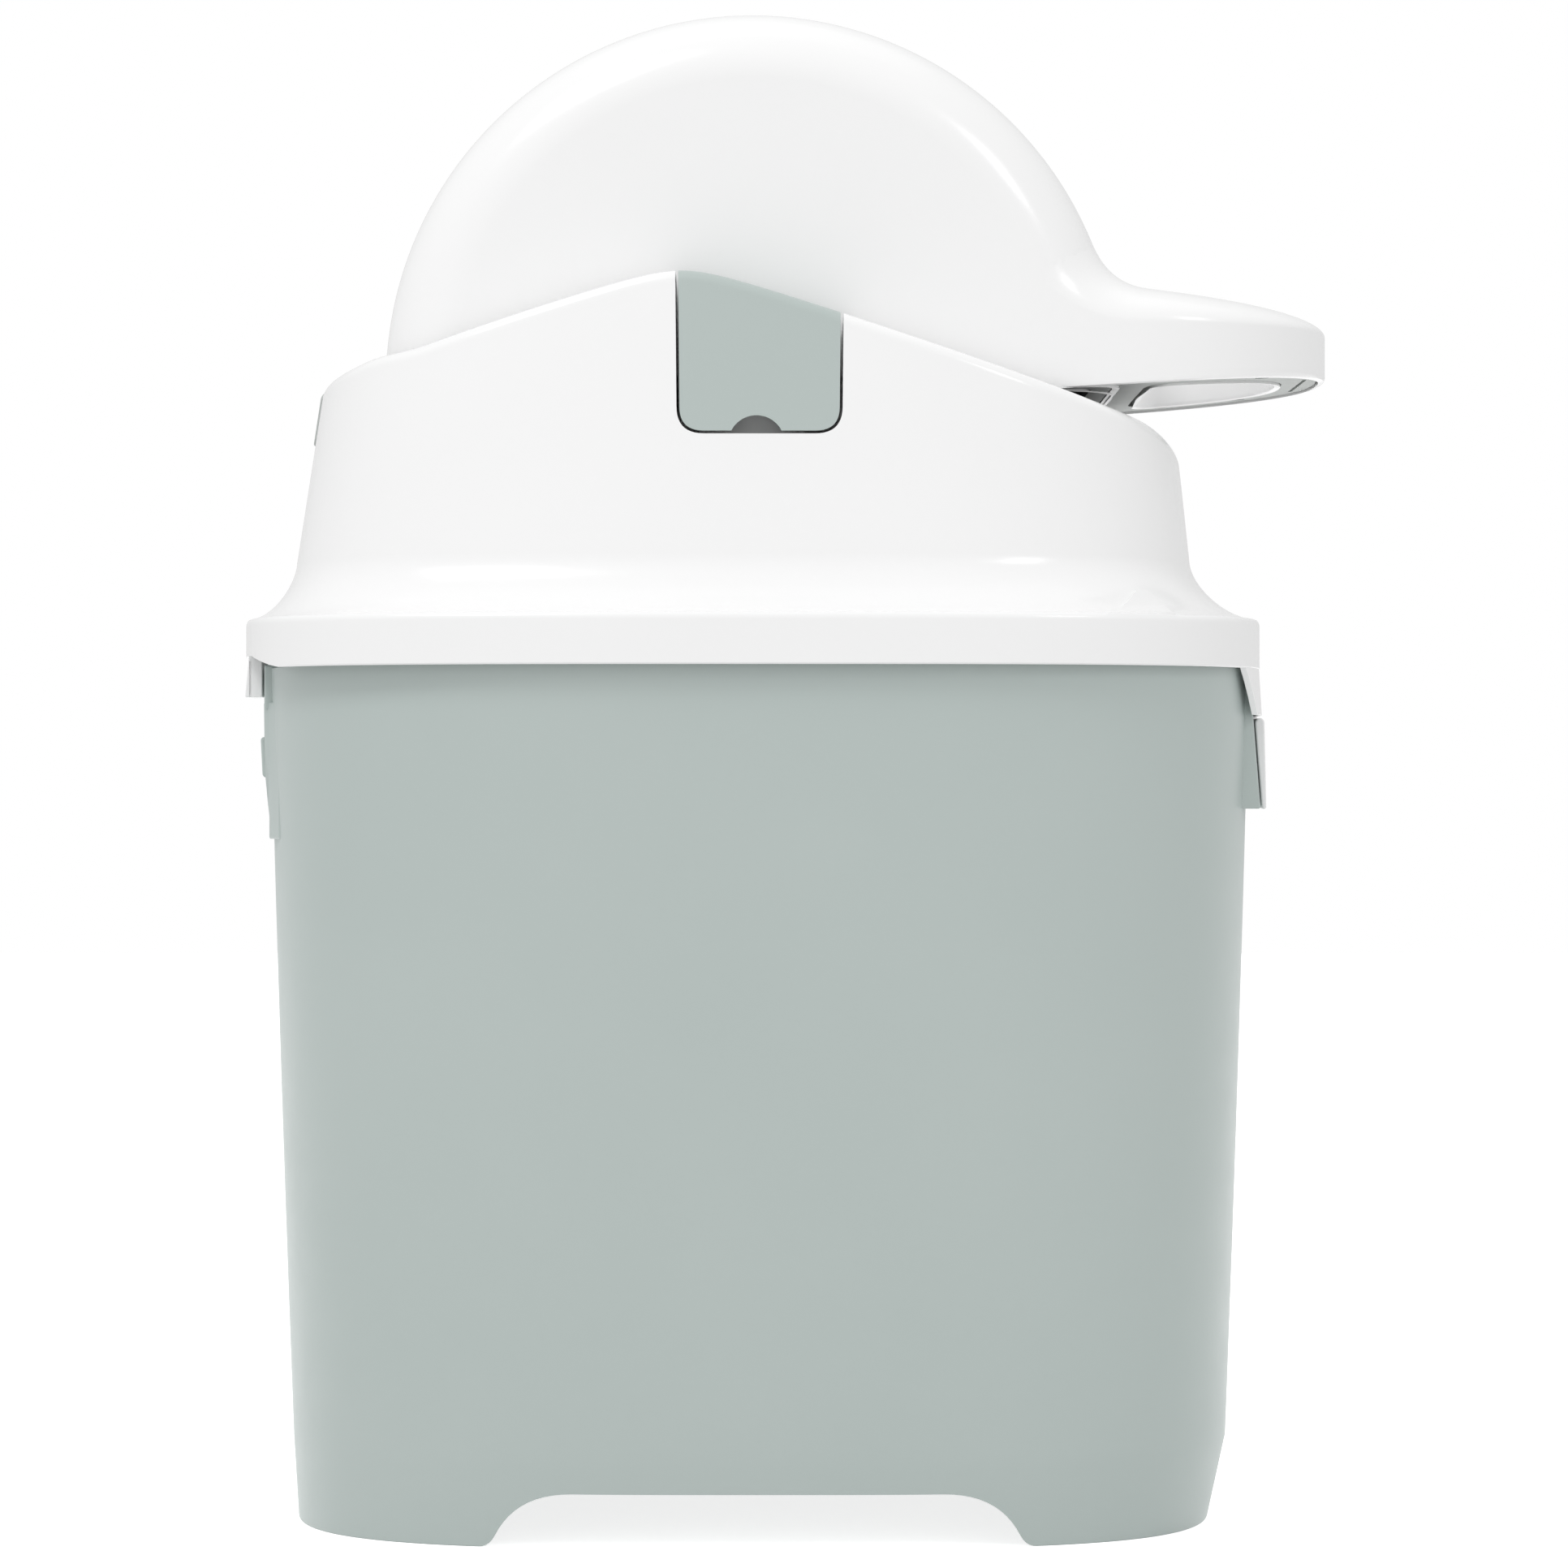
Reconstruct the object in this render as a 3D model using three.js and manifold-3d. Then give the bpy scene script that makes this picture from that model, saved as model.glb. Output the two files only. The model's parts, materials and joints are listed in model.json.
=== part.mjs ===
// Nappy bin: a tapered bucket, a hinged lid and a half drum that flips over with its loop handle.
// Millimetres, +Z up. The handle points towards +X, and the bin is the same on both sides of Y = 0.
// Places are first worked out from the drum's axis (X = 0) and the floor, then the whole is centred.

import * as THREE from "three";
import Module from "manifold-3d";
import { mergeVertices } from "three/addons/utils/BufferGeometryUtils.js";

const wasm = await Module();
wasm.setup();

// Counts and shares of the curves
const sectionPoints = 56;
const wheelSteps = 60;
const roundSteps = 16;
const edgeSteps = 4;
const leanPasses = 4;
const sectionExponent = 3.3;
const blockShare = 0.9;
const earDepthShare = 0.7;
const roundInShare = 0.3;

// Shared walls and clearances
const wall = 2.5;
const seatGap = 0.35;
const overrun = 8;
const mergeReach = 0.00001;

// Overall plan: the rim of the lid is the longest and widest ring, and the rest steps in from it
const rimLength = 357.6;
const rimWidth = 280;

// Bucket
const rimEndOverhang = 6.8;
const bucketLength = rimLength - 2 * rimEndOverhang;
const rimSideOverhang = 6.5;
const bucketWidth = rimWidth - 2 * rimSideOverhang;
const bucketEndDraw = 11.2;
const bucketFootLength = bucketLength - 2 * bucketEndDraw;
const bucketSideDraw = 13.5;
const bucketFootWidth = bucketWidth - 2 * bucketSideDraw;
const bucketTop = 304.7;
const bucketForward = 2.3;
const bucketBowHeight = 29;
const bucketBowEndDraw = 7.2;
const bucketBowLength = bucketLength - 2 * bucketBowEndDraw;
const bucketBowSideDraw = 10.5;
const bucketBowWidth = bucketWidth - 2 * bucketBowSideDraw;
const collarHeight = 7.4;
const collarStep = 1.1;
const archHeight = 18.5;
const archWidth = 181;
const archForward = 2;
const archRun = 28;
const archCover = 5.5;
const floorTop = archHeight + archCover;
const floorWall = 3;
const lugWidth = 60;
const lugDrop = 45.3;
const lugBottom = bucketTop - lugDrop;
const lugHeight = 14.3;
const lugReach = 4.1;

// Front boss on the bucket, with the flap in front of it
const bossWidth = 120;
const bossBow = 1;
const bowShares = [0, 0.5, 0.8, 1];
const bossDrop = 9;
const bossTop = bucketTop - bossDrop;
const bossHeight = 47.2;
const bossBottom = bossTop - bossHeight;
const bossMiddleDrop = 14.4;
const bossMiddle = bossTop - bossMiddleDrop;
const bossBottomInset = 1.3;
const bossBottomReach = rimLength / 2 - bossBottomInset;
const bossMiddleInset = 3.9;
const bossMiddleReach = rimLength / 2 - bossMiddleInset;
const bossTopInset = 6.9;
const bossTopReach = rimLength / 2 - bossTopInset;

// Lid
const rimDrop = 7.7;
const rimBottom = bucketTop - rimDrop;
const rimHeight = 15;
const rimRound = 2.4;
const coveReach = 18.4;
const coveRise = 20.5;
const coveExponent = 1.6;
const wallShift = -3.4;
const wallLeanShare = 0.135;
const topRound = 4;
const lidHeight = 138.5;
const peakHeight = rimBottom + lidHeight;
const peakPlace = -23.5;
const rearSlopeShare = 0.322;
const frontSlopeShare = 0.336;
const peakRound = 8.4;
const cornerLength = 46.8;
const cornerStart = rimLength / 2 - cornerLength;
const cornerRun = 17;
const cornerDrop = 4;

// Drum, its opening and the well that it turns in
const axisDrop = 38.6;
const axisHeight = peakHeight - axisDrop;
const drumRadius = 127.7;
const drumSideGap = 60;
const drumWidth = rimWidth - 2 * drumSideGap;
const drumEdge = 24;
const openingDrop = 11;
const openingTilt = THREE.MathUtils.degToRad(3.9);
const linerInset = 8;
const linerWall = 2;
const linerRim = 2.2;
const wellClearance = 2.4;
const wellSideClearance = 3.2;
const wellDepth = 44.8;
const wellBottom = axisHeight - wellDepth;
const ledgeHeight = 2.4;
const ledgeReach = 5;
const ledgeClearance = 1.2;
const sealHeight = 14;
const sealReach = 6;
const sealClearance = 0.5;

// Loop handle
const handleReach = 76.3;
const handleTip = drumRadius + handleReach;
const handleStartInset = 7.7;
const handleStart = drumRadius - handleStartInset;
const handleRootInset = 31.7;
const handleRoot = drumRadius - handleRootInset;
const neckShares = [1 / 3, 2 / 3, 1];
const handleExponent = 2.5;
const handleSide = 18.7;
const crownHeight = 34.2;
const crownOffset = 6.3;
const crownPlace = drumRadius + crownOffset;
const crownSlopeShare = 0.112;
const crownExponent = 6;
const crownShares = [1, 0.99, 0.97, 0.93, 0.86, 0.75, 0.55, 0.3, 0.02];
const rootFilletInset = 11.7;
const rootFilletInner = drumRadius - rootFilletInset;
const rootFilletLength = 22;
const holeTipWall = 18;
const holeTip = handleTip - holeTipWall;
const holeLength = 46;
const holeRear = holeTip - holeLength;
const holeSideWall = 24;
const holeWidth = drumWidth - 2 * holeSideWall;
const holeCorner = 10;
const coverInset = 0.8;
const coverThickness = 2.2;
const coverSlotInset = 9.5;
const coverSlotPlace = handleTip - coverSlotInset;
const coverSlotWidth = 1.3;
const coverSlotLength = 56;
const rearScrewBack = 54;
const rearScrewInset = 14;
const frontScrewBack = 26;
const frontScrewInset = 29;
const coverScrewPlaces = [
  { along: handleTip - rearScrewBack, across: drumWidth / 2 - rearScrewInset },
  { along: handleTip - frontScrewBack, across: drumWidth / 2 - frontScrewInset },
];
const coverScrewRadius = 1.4;
const coverScrewHead = 2.7;
const coverScrewHeadHeight = 1.1;
const coverScrewLength = 10;
const coverBossRadius = 3.6;

// Trunnions, their screws and bushes
const trunnionRadius = 6.5;
const trunnionFlange = 12.4;
const trunnionFlangeHeight = 2.3;
const trunnionInset = 39;
const trunnionReach = rimWidth / 2 - trunnionInset;
const trunnionGap = 0.3;
const trunnionScrewPlace = 9.4;
const trunnionScrewRadius = 1.1;
const trunnionScrewHead = 2.3;
const trunnionScrewHeadHeight = 1.4;
const trunnionScrewLength = 3.9;
const bushWall = 2.7;
const bushEndGap = 0.4;
const outerSeatInset = 43;
const outerSeatPlace = rimWidth / 2 - outerSeatInset;
const outerSeatWidth = 36;
const seatClearance = 0.3;

// Keepers: the clips over the trunnions
const keeperRear = 25.1;
const keeperFront = 30.4;
const keeperTaper = 0.7;
const keeperDrop = 20.6;
const keeperBottom = axisHeight - keeperDrop;
const keeperCorner = 8.2;
const keeperGap = 1;
const keeperWall = 2.2;
const notchPlace = 1.6;
const notchRadius = 9.5;
const notchRise = 5.2;

// Lid hinge
const hingeInset = 4.2;
const hingePlace = hingeInset - rimLength / 2;
const hingeDrop = 14;
const hingeHeight = bucketTop - hingeDrop;
const hingeEarRadius = 3.4;
const hingeKnuckleRadius = 3;
const hingePinRadius = 1.5;
const hingeBore = 1.62;
const hingeKnuckleWidth = 56;
const hingeEarWidth = 21;
const hingePinReach = 49.4;
const hingePinInner = 10;

// Front apron and flap
const apronWidth = 136;
const apronSpread = 16;
const apronWall = 2;
const apronMountWidth = 30;
const apronDrop = 16;
const apronBottom = rimBottom - apronDrop;
const apronBottomStep = 0.8;
const apronBottomReach = rimLength / 2 + apronBottomStep;
const apronTopInset = 0.6;
const apronTopReach = rimLength / 2 - apronTopInset;
const apronClearance = 0.9;
const bossClearance = 0.45;
const flapWidth = 80;
const flapHingeInset = 0.7;
const flapHingePlace = rimLength / 2 - flapHingeInset;
const flapHingeDrop = 2.4;
const flapHingeHeight = apronBottom - flapHingeDrop;
const flapBarrel = 1.65;
const flapLength = 30.3;
const flapBottom = flapHingeHeight - flapLength;
const flapBottomStep = 1.6;
const flapBottomOuter = rimLength / 2 + flapBottomStep;
const flapBottomWall = 1.5;
const flapBottomInner = flapBottomOuter - flapBottomWall;
const flapPinRadius = 0.9;
const flapBore = 1;
const lugHalfWidth = 12;
const flapLugRadius = 1.5;
const flapLugGap = 0.4;

// Small rings and strips
const gasketGap = 3;
const gasketBottom = bucketTop + gasketGap;
const gasketHeight = 6;
const gasketTop = gasketBottom + gasketHeight;
const gasketOuterInset = 1.5;
const gasketWidth = 4.5;
const bagRingHeight = 2.2;
const bagRingLip = 9;
const bagRingSkirt = 17;
const bagRingWall = 2;
const bumperRise = 77.7;
const bumperBottom = rimBottom + bumperRise;
const bumperHeight = 12;
const bumperTop = bumperBottom + bumperHeight;
const bumperWidth = 60;
const bumperThickness = 0.9;

// Solids from triangle meshes

function solid(geometry) {
  const bare = geometry.clone();
  bare.deleteAttribute("normal");
  bare.deleteAttribute("uv");
  const merged = mergeVertices(bare, mergeReach);
  const source = merged.index.array;
  const triangles = [];
  for (let i = 0; i < source.length; i += 3) {
    const [a, b, c] = [source[i], source[i + 1], source[i + 2]];
    if (a !== b && b !== c && c !== a) triangles.push(a, b, c);
  }
  return new wasm.Manifold(
    new wasm.Mesh({
      numProp: 3,
      vertProperties: new Float32Array(merged.attributes.position.array),
      triVerts: new Uint32Array(triangles),
    }),
  );
}

// A closed stack of rings, lowest first. Points i and count - i of a ring mirror each other in Y,
// so both ends are closed by strips that run straight across.
function stack(rings) {
  const count = rings[0].length;
  const positions = rings.flat().flatMap((point) => [point.x, point.y, point.z]);
  const index = [];
  for (let ring = 0; ring + 1 < rings.length; ring += 1) {
    for (let i = 0; i < count; i += 1) {
      const a = ring * count + i;
      const b = ring * count + ((i + 1) % count);
      index.push(a, b, b + count, a, b + count, a + count);
    }
  }
  const last = (rings.length - 1) * count;
  for (let i = 0; i < count / 2; i += 1) {
    const [a, b, c, d] = [i, i + 1, count - i - 1, (count - i) % count];
    index.push(last + a, last + b, last + c, a, c, b);
    if (d !== a) index.push(last + a, last + c, last + d, a, d, c);
  }
  const geometry = new THREE.BufferGeometry();
  geometry.setAttribute("position", new THREE.Float32BufferAttribute(positions, 3));
  geometry.setIndex(index);
  return solid(geometry);
}

function box(low, high) {
  const size = high.clone().sub(low);
  const middle = high.clone().add(low).multiplyScalar(1 / 2);
  return solid(new THREE.BoxGeometry(size.x, size.y, size.z).translate(middle.x, middle.y, middle.z));
}

function at(x, y, z) {
  return new THREE.Vector3(x, y, z);
}

function rodAlongY(radius, from, to, x, z, steps = roundSteps) {
  const geometry = new THREE.CylinderGeometry(radius, radius, to - from, steps);
  return solid(geometry.translate(x, (from + to) / 2, z));
}

function rodAlongZ(radius, from, to, x, y) {
  const geometry = new THREE.CylinderGeometry(radius, radius, to - from, roundSteps);
  return solid(geometry.rotateX(Math.PI / 2).translate(x, y, (from + to) / 2));
}

// A side outline in X and Z, carried along Y.
function plateAlongY(outline, from, to) {
  const options = { depth: to - from, bevelEnabled: false, curveSegments: edgeSteps };
  const geometry = new THREE.ExtrudeGeometry(outline, options);
  return solid(geometry.rotateX(Math.PI / 2).translate(0, to, 0));
}

// A front outline in Y and Z, carried along X.
function plateAlongX(outline, from, to) {
  const options = { depth: to - from, bevelEnabled: false, curveSegments: edgeSteps };
  const geometry = new THREE.ExtrudeGeometry(outline, options);
  return solid(geometry.rotateX(Math.PI / 2).rotateZ(Math.PI / 2).translate(from, 0, 0));
}

// A plan outline in X and Y, carried along Z.
function plateAlongZ(outline, from, to) {
  const options = { depth: to - from, bevelEnabled: false, curveSegments: edgeSteps };
  return solid(new THREE.ExtrudeGeometry(outline, options).translate(0, 0, from));
}

function outlineOf(points) {
  return new THREE.Shape(points.map(([x, y]) => new THREE.Vector2(x, y)));
}

function piece(name, body, material) {
  const { vertProperties, triVerts } = body.getMesh();
  const geometry = new THREE.BufferGeometry();
  geometry.setAttribute("position", new THREE.Float32BufferAttribute(vertProperties, 3));
  geometry.setIndex([...triVerts]);
  geometry.computeVertexNormals();
  const mesh = new THREE.Mesh(geometry, material);
  mesh.name = name;
  return mesh;
}

function mirrored(body) {
  return body.mirror([0, 1, 0]);
}

// Plan sections

// Rounded plan section: |x / a| ^ n + |y / b| ^ n = 1, with points at even angles. A lean, which may
// differ along X, draws both half sizes in.
function sectionRing(halfLength, halfWidth, centre, heightAt, leanAt = () => 0) {
  return Array.from({ length: sectionPoints }, (_, i) => {
    const angle = (2 * Math.PI * i) / sectionPoints;
    const reachAt = (lean) => {
      const along = Math.abs(Math.cos(angle) / (halfLength - lean)) ** sectionExponent;
      const across = Math.abs(Math.sin(angle) / (halfWidth - lean)) ** sectionExponent;
      return (along + across) ** (-1 / sectionExponent);
    };
    let reach = reachAt(0);
    for (let pass = 0; pass < leanPasses; pass += 1) {
      reach = reachAt(leanAt(centre + reach * Math.cos(angle)));
    }
    const x = centre + reach * Math.cos(angle);
    return at(x, reach * Math.sin(angle), heightAt(x));
  });
}

// Rectangle with round corners, its points in the same order as a section ring's.
function cornerRing(halfLength, halfWidth, radius, height) {
  const quarter = [at(halfLength, 0, height)];
  for (let i = 0; i <= edgeSteps; i += 1) {
    const angle = (Math.PI / 2) * (i / edgeSteps);
    const x = halfLength - radius + radius * Math.cos(angle);
    quarter.push(at(x, halfWidth - radius + radius * Math.sin(angle), height));
  }
  const half = [...quarter, ...quarter.map((p) => at(-p.x, p.y, p.z)).reverse()];
  return [...half, ...half.slice(1, -1).map((p) => at(p.x, -p.y, p.z)).reverse()];
}

// Bucket

// Half sizes of the bucket's outside at a height: a foot chamfer, then an even taper.
function bucketSection(height) {
  if (height < bucketBowHeight) {
    const share = Math.max(height, 0) / bucketBowHeight;
    return {
      halfLength: THREE.MathUtils.lerp(bucketFootLength, bucketBowLength, share) / 2,
      halfWidth: THREE.MathUtils.lerp(bucketFootWidth, bucketBowWidth, share) / 2,
      centre: bucketForward * share,
    };
  }
  const share = (height - bucketBowHeight) / (bucketTop - bucketBowHeight);
  const eased = share * (1 + (1 - share) / 4);
  return {
    halfLength: THREE.MathUtils.lerp(bucketBowLength, bucketLength + 2 * collarStep, eased) / 2,
    halfWidth: THREE.MathUtils.lerp(bucketBowWidth, bucketWidth + 2 * collarStep, eased) / 2,
    centre: bucketForward,
  };
}

function bucketStack(heights, inset) {
  return stack(
    heights.map(({ height, step = 0 }) => {
      const { halfLength, halfWidth, centre } = bucketSection(height);
      const depth = inset + step;
      return sectionRing(halfLength - depth, halfWidth - depth, centre, () => height);
    }),
  );
}

function bucketOutside(growth = 0, extra = 0) {
  const middle = (bucketTop + bucketBowHeight) / 2;
  const collar = bucketTop - collarHeight;
  return bucketStack(
    [
      { height: 0 },
      { height: bucketBowHeight },
      { height: (middle + bucketBowHeight) / 2 },
      { height: middle },
      { height: (middle + collar) / 2 },
      { height: collar },
      { height: collar + collarStep / 2, step: collarStep },
      { height: bucketTop + extra, step: collarStep },
    ],
    -growth,
  );
}

function bucketInside() {
  const middle = (bucketTop + floorTop) / 2;
  const heights = [floorTop, middle, bucketTop + overrun];
  return bucketStack(heights.map((height) => ({ height })), wall + collarStep);
}

function underside() {
  const heights = [-overrun, bucketBowHeight / 2, floorTop - floorWall];
  return bucketStack(heights.map((height) => ({ height })), wall + floorWall);
}

function footArch() {
  const low = archForward - archWidth / 2;
  const high = archForward + archWidth / 2;
  const bend = archRun / 3;
  const outline = new THREE.Shape();
  outline.moveTo(low, -overrun);
  outline.lineTo(low, 0);
  outline.quadraticCurveTo(low + bend, archHeight, low + archRun, archHeight);
  outline.lineTo(high - archRun, archHeight);
  outline.quadraticCurveTo(high - bend, archHeight, high, 0);
  outline.lineTo(high, -overrun);
  return plateAlongY(outline, -bucketWidth, bucketWidth);
}

// Front boss: its face leans out downwards and bows a little, so the flap lies close to it.
function bossPlate(growth = 0) {
  const rear = bossTopReach - 3 * wall;
  const half = bossWidth / 2 + growth;
  const between = (bossMiddleReach + bossTopReach) / 2 + seatGap;
  const levels = [
    [bossBottomReach, bossBottom - growth],
    [bossMiddleReach, bossMiddle],
    [between, (bossMiddle + bossTop) / 2],
    [bossTopReach, bossTop],
  ];
  const rings = levels.map(([reach, height]) => {
    const front = reach + growth;
    const side = bowShares.map((share) => [front - bossBow * share ** 2, half * share]);
    side.push([rear, half], [rear, 0]);
    const other = side.slice(1, -1).reverse().map(([x, y]) => [x, -y]);
    return [...side, ...other].map(([x, y]) => at(x, y, height));
  });
  return stack(rings);
}

function rearLug() {
  const { halfLength, centre } = bucketSection(lugBottom);
  const rear = centre - halfLength;
  const low = at(rear - lugReach, -lugWidth / 2, lugBottom);
  return box(low, at(rear + wall, lugWidth / 2, lugBottom + lugHeight));
}

function hingeKnuckle() {
  const half = hingeKnuckleWidth / 2;
  const { halfLength, centre } = bucketSection(hingeHeight);
  const barrel = rodAlongY(hingeKnuckleRadius, -half, half, hingePlace, hingeHeight);
  const low = at(hingePlace, -half, hingeHeight - hingeKnuckleRadius * blockShare);
  const high = at(centre - halfLength + wall, half, hingeHeight + hingeKnuckleRadius * blockShare);
  return barrel.add(box(low, high));
}

function hingeBores() {
  const reach = hingePinReach + overrun;
  const bore = rodAlongY(hingeBore, hingePinInner - seatGap, reach, hingePlace, hingeHeight);
  return bore.add(mirrored(bore));
}

function bucketBody() {
  return bucketOutside()
    .add(bossPlate())
    .add(rearLug())
    .add(hingeKnuckle())
    .subtract(bucketInside())
    .subtract(underside())
    .subtract(footArch())
    .subtract(hingeBores());
}

function bagRingBody() {
  const { halfLength, halfWidth, centre } = bucketSection(bucketTop);
  const ring = (inset, height) =>
    sectionRing(halfLength - inset, halfWidth - inset, centre, () => height);
  const bottom = bucketTop + seatGap;
  const top = bottom + bagRingHeight;
  const edge = collarStep + seatGap;
  const skirt = collarStep + wall + 2 * seatGap;
  const skirtBottom = bucketTop - bagRingSkirt;
  const flange = stack([ring(edge, bottom), ring(edge, top)]);
  const sleeve = stack([ring(skirt + seatGap, skirtBottom), ring(skirt, top)]);
  const inner = skirt + bagRingWall;
  const mouth = stack([
    ring(inner + seatGap, skirtBottom - overrun),
    ring(inner, bottom - seatGap),
    ring(edge + bagRingLip, bottom),
    ring(edge + bagRingLip, top + overrun),
  ]);
  return flange.add(sleeve).subtract(mouth);
}

// Lid

const rimTop = rimBottom + rimHeight;
const coveBottom = rimTop + rimRound;
const coveTop = coveBottom + coveRise;

// Height of the lid's top edge: two slopes with a round peak, and a front end that falls away.
function edgeHeight(x) {
  const rear = peakHeight + rearSlopeShare * (x - peakPlace);
  const front = peakHeight - frontSlopeShare * (x - peakPlace);
  const ridge = (rear + front - Math.hypot(rear - front, peakRound)) / 2;
  const past = Math.max(x - cornerStart, 0);
  return ridge - cornerDrop * (past / cornerRun) ** 2;
}

// The lid's outside, or the same form moved in by an inset. Each ring has its inset from the rim,
// its shift and its height: rim, small round, hollow cove, leaning wall, round top edge.
function lidForm(inset, bottom = rimBottom) {
  const ring = (depth, shift, heightAt, leanAt) => {
    const [halfLength, halfWidth] = [rimLength / 2 - inset - depth, rimWidth / 2 - inset - depth];
    const lowered = (x) => heightAt(x) - Math.max(inset, -seatGap);
    return sectionRing(halfLength, halfWidth, shift, lowered, leanAt);
  };
  const rings = [sectionRing(rimLength / 2 - inset, rimWidth / 2 - inset, 0, () => bottom)];
  rings.push(ring(0, 0, () => rimTop));
  rings.push(ring(rimRound * roundInShare, 0, () => rimTop + rimRound * (1 - roundInShare)));
  for (let i = 0; i <= edgeSteps; i += 1) {
    const angle = (Math.PI / 2) * (i / edgeSteps);
    const out = 1 - Math.sin(angle) ** (2 / coveExponent);
    const up = 1 - Math.cos(angle) ** (2 / coveExponent);
    const depth = rimRound + coveReach * (1 - out);
    rings.push(ring(depth, wallShift * (1 - out), () => coveBottom + coveRise * up));
  }
  const foot = rimRound + coveReach;
  const wallAt = (x) => edgeHeight(x) - topRound - coveTop;
  for (const share of [1 / 3, 2 / 3, 1]) {
    const heightAt = (x) => coveTop + wallAt(x) * share;
    rings.push(ring(foot, wallShift, heightAt, (x) => wallLeanShare * wallAt(x) * share));
  }
  for (const share of [1 / 3, 2 / 3, 1]) {
    const angle = (Math.PI / 2) * share;
    const depth = foot + topRound * (1 - Math.cos(angle));
    const heightAt = (x) => edgeHeight(x) - topRound * (1 - Math.sin(angle));
    rings.push(ring(depth, wallShift, heightAt, (x) => wallLeanShare * wallAt(x)));
  }
  return stack(rings);
}

function wellForm(inset, bottom, top) {
  const halfLength = drumRadius + wellClearance - inset;
  const halfWidth = drumWidth / 2 + wellSideClearance - inset;
  const radius = drumEdge + wellClearance - inset;
  return stack([bottom, top].map((height) => cornerRing(halfLength, halfWidth, radius, height)));
}

const seatWallPlace = drumWidth / 2 + wellSideClearance;
const bushRadius = trunnionRadius + trunnionGap + bushWall;

// Window of a keeper in side view, grown by a gap, open above.
function keeperWindow(growth) {
  const top = peakHeight + overrun;
  const bottom = keeperBottom - growth;
  const radius = keeperCorner + growth;
  const low = -keeperRear - growth;
  const high = keeperFront + growth;
  const outline = new THREE.Shape();
  outline.moveTo(low, top);
  outline.lineTo(low + keeperTaper, bottom + radius);
  outline.quadraticCurveTo(low + keeperTaper, bottom, low + keeperTaper + radius, bottom);
  outline.lineTo(high - keeperTaper - radius, bottom);
  outline.quadraticCurveTo(high - keeperTaper, bottom, high - keeperTaper, bottom + radius);
  outline.lineTo(high, top);
  return plateAlongY(outline, seatWallPlace - overrun, rimWidth / 2);
}

// Walls that line the keeper's pocket, with the two round seats of the bush.
function keeperPocket(outside) {
  const low = -keeperRear - keeperGap - wall;
  const high = keeperFront + keeperGap + wall;
  const lining = box(
    at(low, seatWallPlace, keeperBottom - keeperGap - wall),
    at(high, rimWidth / 2, peakHeight),
  ).subtract(keeperWindow(keeperGap));
  const innerSeat = box(
    at(low, seatWallPlace, keeperBottom - keeperGap - wall),
    at(high, seatWallPlace + wall, axisHeight),
  );
  const outerSeat = box(
    at(-outerSeatWidth / 2, outerSeatPlace, keeperBottom - keeperGap - wall),
    at(outerSeatWidth / 2, outerSeatPlace + wall, axisHeight),
  );
  const bore = rodAlongY(bushRadius + seatClearance, 0, rimWidth / 2, 0, axisHeight);
  return lining.add(innerSeat).add(outerSeat).subtract(bore).intersect(outside);
}

function hingeEar() {
  const from = hingeKnuckleWidth / 2 + seatGap;
  const barrel = rodAlongY(hingeEarRadius, from, from + hingeEarWidth, hingePlace, hingeHeight);
  const block = box(
    at(hingePlace - hingeEarRadius, from, hingeHeight - hingeEarRadius),
    at(hingePlace + hingeEarRadius * earDepthShare, from + hingeEarWidth, rimBottom + wall),
  );
  return barrel.add(block);
}

// Front apron: the rim carried down as a thin wall that narrows, with a thick middle for the lug.
function apron() {
  const high = rimBottom + wall;
  const ring = (inset, height) =>
    sectionRing(rimLength / 2 - inset, rimWidth / 2 - inset, 0, () => height);
  const outside = stack([ring(-apronBottomStep, apronBottom), ring(apronTopInset, high)]);
  const inside = stack([
    ring(apronWall - apronBottomStep, apronBottom - overrun),
    ring(apronWall + apronTopInset, high + overrun),
  ]);
  const low = apronWidth / 2;
  const wide = low + apronSpread;
  const front = plateAlongX(
    outlineOf([
      [-wide, high],
      [-wide, rimBottom],
      [-low, apronBottom],
      [low, apronBottom],
      [wide, rimBottom],
      [wide, high],
    ]),
    cornerStart,
    rimLength,
  );
  const mount = box(
    at(bossTopReach - wall, -apronMountWidth / 2, apronBottom),
    at(rimLength, apronMountWidth / 2, high),
  ).intersect(outside);
  return outside
    .subtract(inside)
    .intersect(front)
    .add(mount)
    .subtract(bucketOutside(apronClearance, overrun))
    .subtract(bossPlate(bossClearance));
}

// Lug under the apron, between the flap's two barrels.
function flapLug() {
  const barrel = rodAlongY(
    flapLugRadius,
    -lugHalfWidth,
    lugHalfWidth,
    flapHingePlace,
    flapHingeHeight,
  );
  const neck = box(
    at(flapHingePlace - flapLugRadius, -lugHalfWidth, flapHingeHeight),
    at(flapHingePlace + flapLugRadius, lugHalfWidth, apronBottom + wall),
  );
  return barrel.add(neck);
}

function flapPinHole(radius, extra) {
  const reach = flapWidth / 2 - overrun + extra;
  return rodAlongY(radius, -reach, reach, flapHingePlace, flapHingeHeight);
}

function wellLedge() {
  const top = wellBottom + ledgeHeight;
  return wellForm(0, wellBottom, top)
    .subtract(wellForm(ledgeReach, wellBottom - overrun, top + overrun))
    .subtract(drumWheel(-ledgeClearance));
}

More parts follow.
